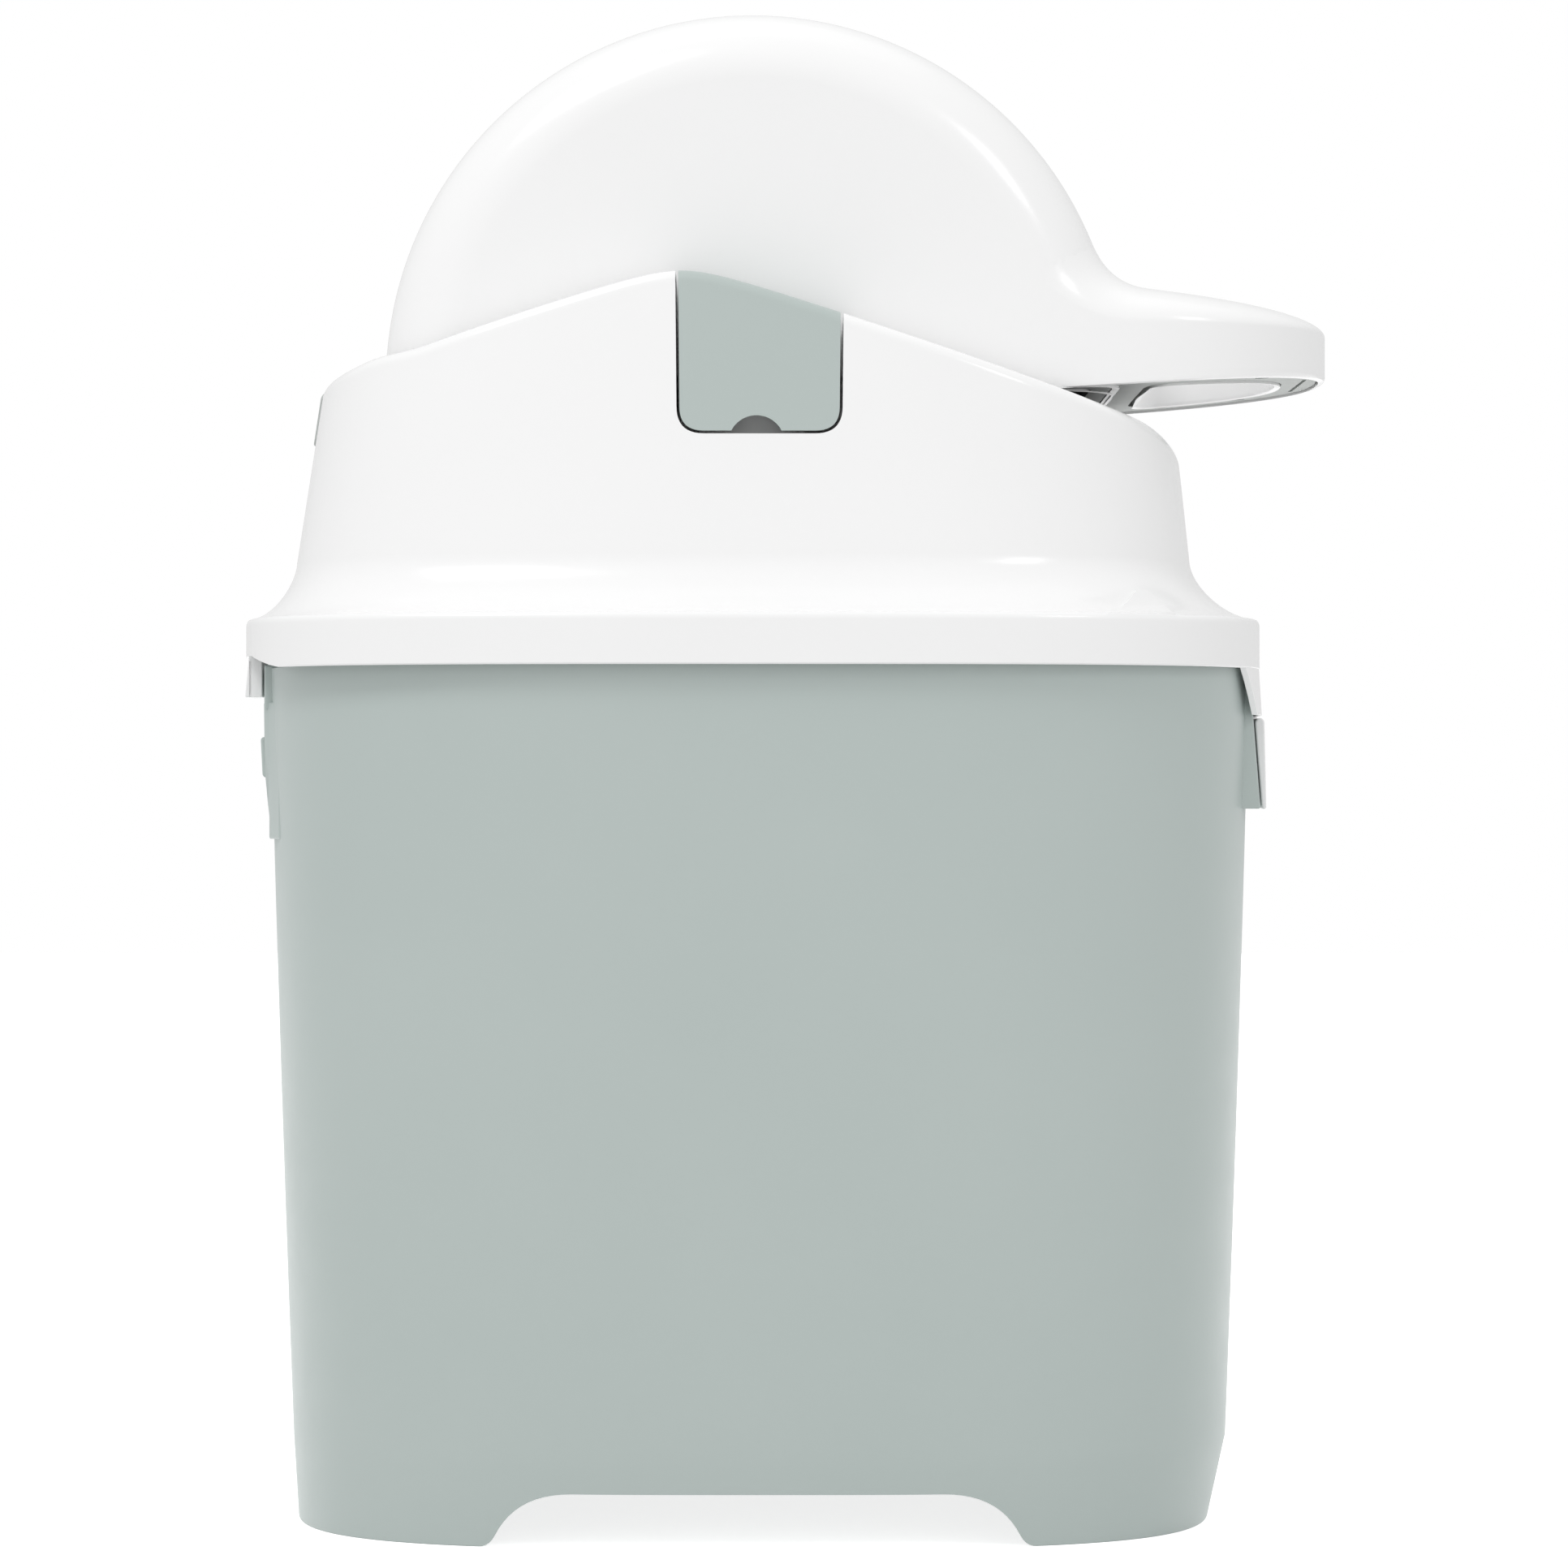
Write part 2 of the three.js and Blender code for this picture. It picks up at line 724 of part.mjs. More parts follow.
function lidShellBody() {
  const outside = lidForm(0);
  const wellTop = peakHeight + overrun;
  const window = keeperWindow(keeperGap);
  const pocket = keeperPocket(outside);
  const wellWall = wellForm(-wall, wellBottom, wellTop).intersect(outside);
  return outside
    .subtract(lidForm(wall, rimBottom - overrun))
    .add(wellWall)
    .subtract(window)
    .subtract(mirrored(window))
    .subtract(wellForm(0, rimBottom, wellTop))
    .add(wellLedge())
    .add(pocket)
    .add(mirrored(pocket))
    .add(apron())
    .add(hingeEar())
    .add(mirrored(hingeEar()))
    .add(flapLug())
    .subtract(hingeBores())
    .subtract(flapPinHole(flapBore, seatGap));
}

function keeperBody() {
  const outside = lidForm(0);
  const skin = outside.subtract(lidForm(keeperWall, rimBottom - overrun));
  const above = peakHeight + overrun;
  const leafBottom = axisHeight + seatGap;
  const leaf = (place, half) =>
    box(at(-half, place, leafBottom), at(half, place + wall, above)).intersect(outside);
  const cover = box(at(-rimLength, seatWallPlace, keeperBottom), at(rimLength, rimWidth, above));
  const notchHeight = keeperBottom + notchRise - notchRadius;
  const notch = rodAlongY(notchRadius, seatWallPlace, rimWidth, notchPlace, notchHeight);
  const boreEnd = trunnionReach + trunnionGap;
  const bore = rodAlongY(bushRadius + seatClearance, 0, boreEnd, 0, axisHeight);
  return skin
    .intersect(cover)
    .add(leaf(seatWallPlace, rimLength))
    .add(leaf(outerSeatPlace, outerSeatWidth / 2))
    .intersect(keeperWindow(0))
    .subtract(notch)
    .subtract(bore);
}

function drumSealBody() {
  const bottom = wellBottom + ledgeHeight + seatGap;
  const top = bottom + sealHeight;
  return wellForm(seatGap, bottom, top)
    .subtract(wellForm(sealReach, bottom - overrun, top + overrun))
    .subtract(drumWheel(-sealClearance));
}

function gasketBody() {
  const { halfLength, halfWidth, centre } = bucketSection(bucketTop);
  const ring = (inset, height) =>
    sectionRing(halfLength - inset, halfWidth - inset, centre, () => height);
  const inner = gasketOuterInset + gasketWidth;
  return stack([ring(gasketOuterInset, gasketBottom), ring(gasketOuterInset, gasketTop)])
    .subtract(stack([ring(inner, gasketBottom - overrun), ring(inner, gasketTop + overrun)]))
    .intersect(lidForm(wall + seatGap, rimBottom));
}

function bumperBody() {
  const window = box(
    at(-rimLength / 2, -bumperWidth / 2, bumperBottom),
    at(-cornerStart, bumperWidth / 2, bumperTop),
  );
  const outer = lidForm(-bumperThickness - seatGap / 2);
  return outer.subtract(lidForm(-seatGap / 2)).intersect(window);
}

function hingePinBody() {
  return rodAlongY(hingePinRadius, hingePinInner, hingePinReach - seatGap, hingePlace, hingeHeight);
}

function flapBody() {
  const barrelPoints = Array.from({ length: 2 * edgeSteps + 1 }, (_, i) => {
    const angle = (Math.PI * i) / (2 * edgeSteps);
    const x = flapHingePlace + flapBarrel * Math.cos(angle);
    return [x, flapHingeHeight + flapBarrel * Math.sin(angle)];
  });
  const outline = outlineOf([
    ...barrelPoints,
    [flapBottomInner, flapBottom],
    [flapBottomOuter, flapBottom],
  ]);
  const half = lugHalfWidth + flapLugGap;
  const low = flapHingeHeight - flapBarrel - flapLugGap;
  const slot = box(
    at(bossMiddleReach - overrun, -half, low),
    at(flapBottomOuter + overrun, half, apronBottom),
  );
  return plateAlongY(outline, -flapWidth / 2, flapWidth / 2)
    .subtract(slot)
    .subtract(flapPinHole(flapBore, seatGap));
}

// Drum

// The full wheel that the drum is cut from, moved in by an inset.
function drumWheel(inset) {
  const [radius, half] = [drumRadius - inset, drumWidth / 2 - inset];
  const edge = drumEdge - inset;
  const profile = [new THREE.Vector2(0, -half)];
  for (const side of [-1, 1]) {
    for (let i = 0; i <= edgeSteps; i += 1) {
      const share = side < 0 ? i / edgeSteps : 1 - i / edgeSteps;
      const angle = (Math.PI / 2) * share;
      const reach = radius - edge + edge * Math.sin(angle);
      profile.push(new THREE.Vector2(reach, side * (half - edge + edge * Math.cos(angle))));
    }
  }
  profile.push(new THREE.Vector2(0, half));
  return solid(new THREE.LatheGeometry(profile, wheelSteps).translate(0, 0, axisHeight));
}

function openingHeight(x) {
  return axisHeight - openingDrop + x * Math.tan(openingTilt);
}

// A slab parallel to the drum's opening, between two distances above it.
function openingSlab(from, to) {
  const size = 4 * handleTip;
  const geometry = new THREE.BoxGeometry(size, size, to - from).translate(0, 0, (from + to) / 2);
  return solid(geometry.rotateY(-openingTilt).translate(0, 0, axisHeight - openingDrop));
}

function belowOpening(lift = 0) {
  return openingSlab(lift - 2 * drumRadius, lift);
}

function crownAt(x, share) {
  const near = crownPlace - Math.max(x, rootFilletInner);
  const fillet = Math.max(near, 0) ** 2 / rootFilletLength;
  const crown = crownHeight - crownSlopeShare * (x - crownPlace) + fillet;
  return handleSide + (crown - handleSide) * Math.sqrt(1 - share ** crownExponent);
}

// Solid block of the handle: rings of one plan outline, drawn in towards the crown.
function handleForm(inset) {
  const halfLength = handleTip - handleStart - inset;
  const halfWidth = drumWidth / 2 - inset;
  const steps = 2 * edgeSteps;
  const ring = (share, heightAt) => {
    const half = [];
    for (let i = 0; i <= steps; i += 1) {
      const angle = (Math.PI / 2) * (i / steps);
      const along = halfLength * share * Math.cos(angle) ** (2 / handleExponent);
      const across = halfWidth * share * Math.sin(angle) ** (2 / handleExponent);
      half.push([handleStart + along, across]);
    }
    for (const back of neckShares) {
      half.push([THREE.MathUtils.lerp(handleStart, handleRoot, back), halfWidth * share]);
    }
    half.push([handleRoot, 0]);
    const other = half.slice(1, -1).reverse().map(([x, y]) => [x, -y]);
    return [...half, ...other].map(([x, y]) => at(x, y, heightAt(x)));
  };
  const low = axisHeight - openingDrop - overrun;
  const rings = [ring(1, () => low)];
  for (const share of crownShares) {
    rings.push(ring(share, (x) => axisHeight + crownAt(x, share) - inset));
  }
  return stack(rings);
}

function handleHole(growth) {
  const halfLength = holeTip - handleStart + growth;
  const halfWidth = holeWidth / 2 + growth;
  const rear = holeRear - growth;
  const corner = holeCorner + growth;
  const steps = 3 * edgeSteps;
  const side = [];
  for (let i = 0; i <= steps; i += 1) {
    const angle = (Math.PI / 2) * (i / steps);
    const x = handleStart + halfLength * Math.cos(angle) ** (2 / handleExponent);
    const y = halfWidth * Math.sin(angle) ** (2 / handleExponent);
    if (x > rear + corner) side.push([x, y]);
  }
  const [, widest] = side[side.length - 1];
  const outline = new THREE.Shape();
  outline.moveTo(...side[0]);
  side.slice(1).forEach(([x, y]) => outline.lineTo(x, y));
  outline.quadraticCurveTo(rear, widest, rear, widest - corner);
  outline.lineTo(rear, corner - widest);
  outline.quadraticCurveTo(rear, -widest, side[side.length - 1][0], -widest);
  side.slice(1, -1).reverse().forEach(([x, y]) => outline.lineTo(x, -y));
  return plateAlongZ(outline, axisHeight - 2 * openingDrop, axisHeight + drumRadius);
}

function coverScrews(make) {
  const spots = coverScrewPlaces.flatMap(({ along, across }) => [
    { x: along, y: across },
    { x: along, y: -across },
  ]);
  return spots.map(({ x, y }) => make(x, y, openingHeight(x)));
}

function coverScrewBody(x, y, base, growth = 0) {
  const bottom = base + coverInset + seatGap;
  const head = rodAlongZ(
    coverScrewHead + growth,
    growth > 0 ? bottom - overrun : bottom,
    bottom + coverScrewHeadHeight + growth,
    x,
    y,
  );
  const shank = rodAlongZ(coverScrewRadius + growth, bottom, bottom + coverScrewLength, x, y);
  return head.add(shank);
}

function handleCoverBody() {
  const bottom = coverInset;
  const top = coverInset + coverThickness;
  const inset = wall + seatGap;
  const slot = box(
    at(coverSlotPlace, -coverSlotLength / 2, axisHeight - 2 * openingDrop),
    at(coverSlotPlace + coverSlotWidth, coverSlotLength / 2, axisHeight + openingDrop),
  );
  let cover = handleForm(inset)
    .intersect(openingSlab(bottom, top))
    .subtract(handleHole(inset))
    .subtract(drumWheel(-seatGap))
    .subtract(slot);
  for (const hole of coverScrews((x, y, base) => coverScrewBody(x, y, base, seatGap / 2))) {
    cover = cover.subtract(hole);
  }
  return cover;
}

function drumShellBody() {
  const outside = drumWheel(0).add(handleForm(0));
  const handleCavity = handleForm(wall).subtract(handleHole(wall)).subtract(drumWheel(0));
  const bossBase = coverInset + coverThickness + seatGap;
  let shell = outside.subtract(drumWheel(wall)).subtract(handleCavity);
  const bosses = coverScrews((x, y, base) =>
    rodAlongZ(coverBossRadius, base + bossBase, axisHeight + crownHeight, x, y),
  );
  for (const boss of bosses) {
    shell = shell.add(boss.intersect(handleForm(wall / 2)));
  }
  shell = shell.subtract(handleHole(0)).subtract(belowOpening());
  for (const hole of coverScrews((x, y, base) => coverScrewBody(x, y, base, seatGap / 2))) {
    shell = shell.subtract(hole);
  }
  const bore = rodAlongY(trunnionRadius + trunnionGap, -drumWidth, drumWidth, 0, axisHeight);
  shell = shell.subtract(bore);
  for (const side of [-1, 1]) {
    for (const end of [-1, 1]) {
      shell = shell.subtract(trunnionScrewBody(side, end, trunnionGap / 3));
    }
  }
  return shell;
}

function drumLinerBody() {
  const inside = drumWheel(linerInset + linerWall);
  const bowl = drumWheel(linerInset).subtract(belowOpening(seatGap));
  const rim = drumWheel(wall + seatGap).intersect(openingSlab(seatGap, seatGap + linerRim));
  return bowl.add(rim).subtract(inside);
}

const flangeOuter = drumWidth / 2 - wall - trunnionGap;
const flangeInner = flangeOuter - trunnionFlangeHeight;

function trunnionBody() {
  const flange = rodAlongY(trunnionFlange, flangeInner, flangeOuter, 0, axisHeight);
  const stub = rodAlongY(trunnionRadius, flangeInner, trunnionReach, 0, axisHeight);
  let trunnion = flange.subtract(belowOpening(linerRim + 2 * seatGap)).add(stub);
  for (const end of [-1, 1]) {
    trunnion = trunnion.subtract(trunnionScrewBody(1, end, trunnionGap / 3));
  }
  return trunnion;
}

// A trunnion screw: its head lies inside the flange, its shank runs out into the drum's wall.
function trunnionScrewBody(side, end, growth = 0) {
  const x = end * trunnionScrewPlace;
  const headOuter = flangeInner - trunnionGap / 3;
  const headInner = headOuter - trunnionScrewHeadHeight;
  const tip = headOuter + trunnionScrewLength + growth;
  const head = rodAlongY(trunnionScrewHead, headInner, headOuter, x, axisHeight);
  const shank = rodAlongY(trunnionScrewRadius + growth, headInner, tip, x, axisHeight);
  const screw = growth > 0 ? shank : head.add(shank);
  return side > 0 ? screw : mirrored(screw);
}

function bushBody() {
  const from = seatWallPlace + bushEndGap;
  const to = outerSeatPlace + wall;
  return rodAlongY(bushRadius, from, to, 0, axisHeight).subtract(
    rodAlongY(trunnionRadius + trunnionGap, from - overrun, to + overrun, 0, axisHeight),
  );
}

// Materials

function plastic(color, roughness) {
  return new THREE.MeshStandardMaterial({ color, roughness, metalness: 0 });
}

const whiteGloss = plastic(0xf4f5f4, 0.25);
const sageGloss = plastic(0xb7c2be, 0.35);
const liningGrey = plastic(0xd9dbd9, 0.45);
const paleAcetal = plastic(0xe6e6e0, 0.4);
const softGrey = plastic(0x9a9f9d, 0.75);
const softPale = plastic(0xdfe2e0, 0.7);
const steel = new THREE.MeshStandardMaterial({ color: 0xc4c6c8, roughness: 0.35, metalness: 1 });

// Assembly

function nappyBin() {
  const bin = new THREE.Group();
  const put = (name, body, material) => bin.add(piece(name, body, material));
  const pair = (name, body, material) => {
    put(`${name}_left`, body, material);
    put(`${name}_right`, mirrored(body), material);
  };

  put("bucket", bucketBody(), sageGloss);
  put("bag_ring", bagRingBody(), liningGrey);
  put("lid_shell", lidShellBody(), whiteGloss);
  put("lid_gasket", gasketBody(), softGrey);
  put("drum_seal", drumSealBody(), softGrey);
  put("rear_bumper", bumperBody(), softPale);
  pair("keeper", keeperBody(), sageGloss);
  pair("bearing_bush", bushBody(), paleAcetal);
  pair("hinge_pin", hingePinBody(), steel);
  put("latch_flap", flapBody(), whiteGloss);
  put("latch_pin", flapPinHole(flapPinRadius, 0), steel);
  put("drum_shell", drumShellBody(), whiteGloss);
  put("drum_liner", drumLinerBody(), liningGrey);
  put("handle_cover", handleCoverBody(), liningGrey);
  coverScrews((x, y, base) => coverScrewBody(x, y, base)).forEach((screw, i) => {
    put(`cover_screw_${i + 1}`, screw, steel);
  });
  pair("trunnion", trunnionBody(), paleAcetal);
  for (const end of [-1, 1]) {
    const place = end > 0 ? "front" : "rear";
    pair(`trunnion_screw_${place}`, trunnionScrewBody(1, end), steel);
  }

  const centre = (handleTip - rimLength / 2) / 2;
  bin.position.x = -centre;
  bin.updateMatrixWorld(true);
  return bin;
}

export default nappyBin();
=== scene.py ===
# %% [markdown]
# # A nappy bin in moulded plastic
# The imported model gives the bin's bodies and joints in metres. This script keeps that frame and
# gives each visible moulding its true surface: soft edges, hollow coves and a glossy skin.

import json
import math

import bpy
import numpy as np
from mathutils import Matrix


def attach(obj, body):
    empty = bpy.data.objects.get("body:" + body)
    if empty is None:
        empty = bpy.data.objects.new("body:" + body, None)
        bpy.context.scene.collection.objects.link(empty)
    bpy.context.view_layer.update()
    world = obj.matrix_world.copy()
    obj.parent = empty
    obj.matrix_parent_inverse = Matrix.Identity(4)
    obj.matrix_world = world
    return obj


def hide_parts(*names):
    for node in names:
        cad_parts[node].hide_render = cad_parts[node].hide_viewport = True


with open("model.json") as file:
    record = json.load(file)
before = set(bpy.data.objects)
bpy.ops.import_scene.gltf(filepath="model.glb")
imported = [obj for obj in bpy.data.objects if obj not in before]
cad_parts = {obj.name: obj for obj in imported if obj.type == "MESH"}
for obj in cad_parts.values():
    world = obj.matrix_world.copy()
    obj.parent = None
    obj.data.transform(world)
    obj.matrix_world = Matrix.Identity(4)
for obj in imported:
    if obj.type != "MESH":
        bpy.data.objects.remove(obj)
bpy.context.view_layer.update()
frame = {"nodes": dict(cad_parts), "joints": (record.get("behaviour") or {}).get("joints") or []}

# %% [markdown]
# ## Driving sizes
# Sizes are in millimetres, in the bin's own frame: the drum turns about X = 0, the floor is Z = 0.
# The frame's origin is the middle of the whole, so every mesh is moved by one fixed shift. It is
# read from the second joint, which is the drum's.

# %% Driving sizes
MM = 0.001
DRUM_AXIS = 396.9
SHIFT = frame["joints"][1]["pos_m"][0] / MM
EXPONENT = 3.3
SECTION_POINTS = 240
WALL = 2.5
PAST_ENDS, PAST_SIDE = 200.0, 150.0
print(f"drum's axis from the middle: {SHIFT:.1f} mm")

# %% [markdown]
# ## Surfaces from arrays
# A moulding is a stack of rings: each ring is a closed line of points, and neighbours are joined
# by four-sided faces. One helper makes the faces, another puts them into a mesh.

# %% Mesh helpers
import bmesh


def linked(name, data):
    """A new object in the scene, made from its data."""
    thing = bpy.data.objects.new(name, data)
    bpy.context.scene.collection.objects.link(thing)
    return thing


def make_object(name, points, faces):
    """An object from points in millimetres and lists of face corners, moved into the frame."""
    mesh = bpy.data.meshes.new(name)
    placed = (np.asarray(points, float).reshape(-1, 3) + (SHIFT, 0, 0)) * MM
    mesh.from_pydata(placed.tolist(), [], [list(map(int, face)) for face in faces])
    mesh.validate()
    return linked(name, mesh)


def outwards(piece, filled=False, sheet=False):
    """Turns every face to point out, a sheet's first one away from the bin's middle plane."""
    shape = bmesh.new()
    shape.from_mesh(piece.data)
    if filled:
        bmesh.ops.holes_fill(shape, edges=[edge for edge in shape.edges if edge.is_boundary])
    bmesh.ops.recalc_face_normals(shape, faces=shape.faces)
    if sheet:
        shape.faces.ensure_lookup_table()
        first = shape.faces[0]
        if first.normal.y * first.calc_center_median().y < 0:
            bmesh.ops.reverse_faces(shape, faces=shape.faces)
    shape.to_mesh(piece.data)
    shape.free()


def ring_faces(rings, count, closed=False):
    """Faces between ring k and ring k + 1 for each step round the ring, as index rows."""
    k, i = np.arange(rings if closed else rings - 1)[:, None], np.arange(count)
    up, right = (k + 1) % rings, (i + 1) % count
    quads = [k * count + i, k * count + right, up * count + right, up * count + i]
    return np.stack(quads, axis=-1).reshape(-1, 4).tolist()


def ring_object(name, rings, closed=False, poles=False):
    """Object from rings of shape (rings, points, 3). Poles close both ends at their middles."""
    count_rings, count = rings.shape[:2]
    faces = ring_faces(count_rings, count, closed)
    points = rings.reshape(-1, 3)
    if poles:
        points = np.vstack([points, rings[0].mean(axis=0), rings[-1].mean(axis=0)])
        first, last = len(points) - 2, len(points) - 1
        base = (count_rings - 1) * count
        for i in range(count):
            after = (i + 1) % count
            faces += [[first, after, i], [last, base + i, base + after]]
    piece = make_object(name, points, faces)
    outwards(piece)
    return piece


# %% Plates
def plate(name, outline, low, high, axes="xz"):
    """A flat outline on two axes, carried between two distances along the third."""
    outline = np.asarray(outline, float)
    count = len(outline)
    along = next(axis for axis in "xyz" if axis not in axes)
    ends = np.empty((2, count, 3))
    ends[..., "xyz".index(axes[0])] = outline[:, 0]
    ends[..., "xyz".index(axes[1])] = outline[:, 1]
    ends[..., "xyz".index(along)] = [[low], [high]]
    faces = ring_faces(2, count) + [list(range(count))[::-1], list(range(count, 2 * count))]
    piece = make_object(name, ends, faces)
    outwards(piece)
    return piece


def side_plate(name, outline, side, near, far):
    """A plate between two distances from the middle plane, on the left (1) or the right (-1)."""
    return plate(name, outline, *sorted((side * near, side * far)))


def box(low_x, high_x, low_z, high_z):
    """Corners of an upright rectangle."""
    return [(low_x, low_z), (high_x, low_z), (high_x, high_z), (low_x, high_z)]


def quarter(count):
    """Angles that divide a quarter turn."""
    return np.linspace(0, np.pi / 2, count)


def circle(x, z, radius, start, end, count):
    """Points on a circle from one angle to another, both in half turns."""
    turn = np.linspace(start * np.pi, end * np.pi, count)
    return np.stack([x + radius * np.cos(turn), z + radius * np.sin(turn)], axis=1)


def bend(start, pull, end, steps=12):
    """Points of a quadratic curve from start to end, pulled towards a third point."""
    t = np.linspace(0, 1, steps)[:, None]
    start, pull, end = (np.asarray(p, float) for p in (start, pull, end))
    return (1 - t) ** 2 * start + 2 * t * (1 - t) * pull + t**2 * end


# %% Tools for finished pieces
def applied(piece):
    """Replaces a piece's mesh by what its modifiers make of it."""
    graph = bpy.context.evaluated_depsgraph_get()
    mesh = bpy.data.meshes.new_from_object(piece.evaluated_get(graph))
    piece.modifiers.clear()
    piece.data = mesh


def carve(piece, tool, operation="DIFFERENCE", folded=False):
    """Cuts a tool from a piece, or joins it on, and deletes the tool.

    A folded piece is one whose wall crosses itself at a tight bend.
    """
    cut = piece.modifiers.new("carve", "BOOLEAN")
    cut.operation, cut.object, cut.solver = operation, tool, "EXACT"
    cut.use_self = folded
    applied(piece)
    bpy.data.objects.remove(tool)


def grouped(first, *others):
    """Makes separate meshes one piece, which keeps the first one's name."""
    with bpy.context.temp_override(
        active_object=first, selected_editable_objects=[first, *others], object=first
    ):
        bpy.ops.object.join()
    return first


def thickened(piece, wall):
    """Gives an open sheet a wall, on the side that its faces look away from."""
    shell = piece.modifiers.new("shell", "SOLIDIFY")
    shell.thickness, shell.offset = wall * MM, -1
    applied(piece)


def rounded(piece, width, segments=3, angle=40):
    """Small round edges, in millimetres, wherever two faces meet at more than an angle."""
    bevel = piece.modifiers.new("edge", "BEVEL")
    bevel.width, bevel.segments = width * MM, segments
    bevel.limit_method, bevel.angle_limit = "ANGLE", math.radians(angle)
    bevel.use_clamp_overlap = True
    applied(piece)


def smooth(piece, angle=32):
    """Smooth shading that stops at edges sharper than an angle."""
    piece.data.shade_smooth()
    piece.data.set_sharp_from_angle(angle=math.radians(angle))
    weighted = piece.modifiers.new("weighted", "WEIGHTED_NORMAL")
    weighted.keep_sharp = True
    applied(piece)


def finished(piece, body, material, slot, *nodes):
    """Gives a piece its material and its place in the frame, and prints its size."""
    piece.data.materials.clear()
    piece.data.materials.append(material)
    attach(piece, body)
    if nodes:
        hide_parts(*nodes)
    print(f"{piece.name}: {len(piece.data.polygons)} faces")


# %% [markdown]
# ## Plastic finishes
# The bin is injection-moulded polypropylene, polished where it shows. Such a skin is one even
# colour with a clear gloss, broken by a faint ripple from the mould and by fine rub marks.


# %% Material helpers
def linear(code):
    """sRGB hex colour to linear values."""
    values = np.array([int(code[i : i + 2], 16) for i in (0, 2, 4)]) / 255
    low, high = values / 12.92, ((values + 0.055) / 1.055) ** 2.4
    return (*np.where(values <= 0.04045, low, high), 1.0)


def empty_tree(holder):
    """The node tree of a material or a world, with no nodes in it."""
    holder.use_nodes = True
    holder.node_tree.nodes.clear()
    return holder.node_tree


def add_node(tree, kind, links=None, **settings):
    """Adds a shader node, sets its properties and sockets, and links sockets to others."""
    node = tree.nodes.new("ShaderNode" + kind)
    for key, value in settings.items():
        if hasattr(node, key):
            setattr(node, key, value)
        else:
            node.inputs[key.replace("_", " ")].default_value = value
    for socket, source in (links or {}).items():
        tree.links.new(source, node.inputs[socket])
    return node


def noise(tree, place, size, detail, roughness=0.5):
    """The value of a noise whose lumps are a size in millimetres."""
    settings = {"Scale": 1 / (size * MM), "Detail": detail, "Roughness": roughness}
    return add_node(tree, "TexNoise", {"Vector": place}, **settings).outputs["Fac"]


# %% Moulded plastic
DRIFT_SIZE, RUB_SIZE, RIPPLE_DEPTH = 90, 14, 0.2
MIX_FIRST, MIX_SECOND, MIX_RESULT = 6, 7, 2


def moulded(name, color, deeper, roughness, ripple_size, ripple, rub=0.06, ior=1.49):
    """Moulded plastic: a slow colour drift, a mould ripple in the gloss and fine rub marks."""
    material = bpy.data.materials.new(name)
    tree = empty_tree(material)
    place = add_node(tree, "TexCoord").outputs["Object"]
    drift = noise(tree, place, DRIFT_SIZE, 3.0)
    tone = add_node(tree, "Mix", {"Factor": drift}, data_type="RGBA")
    tone.inputs[MIX_FIRST].default_value = linear(color)
    tone.inputs[MIX_SECOND].default_value = linear(deeper)
    rubs = {"Value": noise(tree, place, RUB_SIZE, 6.0, 0.7)}
    spread = {"From_Min": 0.3, "From_Max": 0.75, "To_Min": roughness, "To_Max": roughness + rub}
    gloss = add_node(tree, "MapRange", rubs, **spread)
    skin = {"Height": noise(tree, place, ripple_size, 2.0)}
    bump = add_node(tree, "Bump", skin, Strength=ripple, Distance=RIPPLE_DEPTH * MM)
    links = {
        "Base Color": tone.outputs[MIX_RESULT],
        "Roughness": gloss.outputs["Result"],
        "Normal": bump.outputs["Normal"],
    }
    shader = add_node(tree, "BsdfPrincipled", links, IOR=ior)
    add_node(tree, "OutputMaterial", {"Surface": shader.outputs["BSDF"]})
    return material


# %% The finishes
white = moulded("white_polypropylene_polished", "FAFAFA", "F7F7F7", 0.16, 2.2, 0.05)
sage = moulded("sage_polypropylene_satin", "BAC4C1", "B4BFBC", 0.36, 1.4, 0.12)
liner_grey = moulded("grey_polypropylene_fine_spark", "D9DBD9", "D2D5D3", 0.42, 0.9, 0.2)
# The handle cover's grey, darker than the white shell, is painted shade: it stands in for the shade
# that falls under the handle.
cover_grey_painted_shade = moulded("cover_polypropylene_grey_painted_shade", "B4B8B5", "ADB2AF", 0.45, 0.9, 0.2)
acetal = moulded("natural_acetal_moulded", "E6E6E0", "DEDED8", 0.35, 1.2, 0.1, ior=1.48)
seal_rubber = moulded("grey_thermoplastic_rubber", "9A9F9D", "8F9492", 0.7, 0.8, 0.3, ior=1.5)
pale_rubber = moulded("pale_thermoplastic_rubber", "BFC3C1", "B7BBB9", 0.6, 0.8, 0.3, ior=1.5)
print("plastics made")

# %% [markdown]
# ## The bucket
# A tapered tub, wider at the rim, whose plan is a rounded oblong with slightly bowed sides. It
# could be a cube with bevels, but the bowed plan is a formula, so rings of that formula are
# exact: |x / a| to the n plus |y / b| to the n is 1.


# %% Plan section
def ring_at(x, y, z):
    """Points from X, Y and Z. Y and Z may be one number each, and Z a function of X."""
    return np.stack(np.broadcast_arrays(x, y, z(x) if callable(z) else z), axis=-1)


ROUND = np.linspace(0, 2 * np.pi, SECTION_POINTS, endpoint=False)
ROUND_X, ROUND_Y = np.cos(ROUND), np.sin(ROUND)


def plan_reach(a, b):
    """Distance from the middle to |x / a|^n + |y / b|^n = 1, at even angles."""
    n = EXPONENT
    return (np.abs(ROUND_X / a) ** n + np.abs(ROUND_Y / b) ** n) ** (-1 / n)


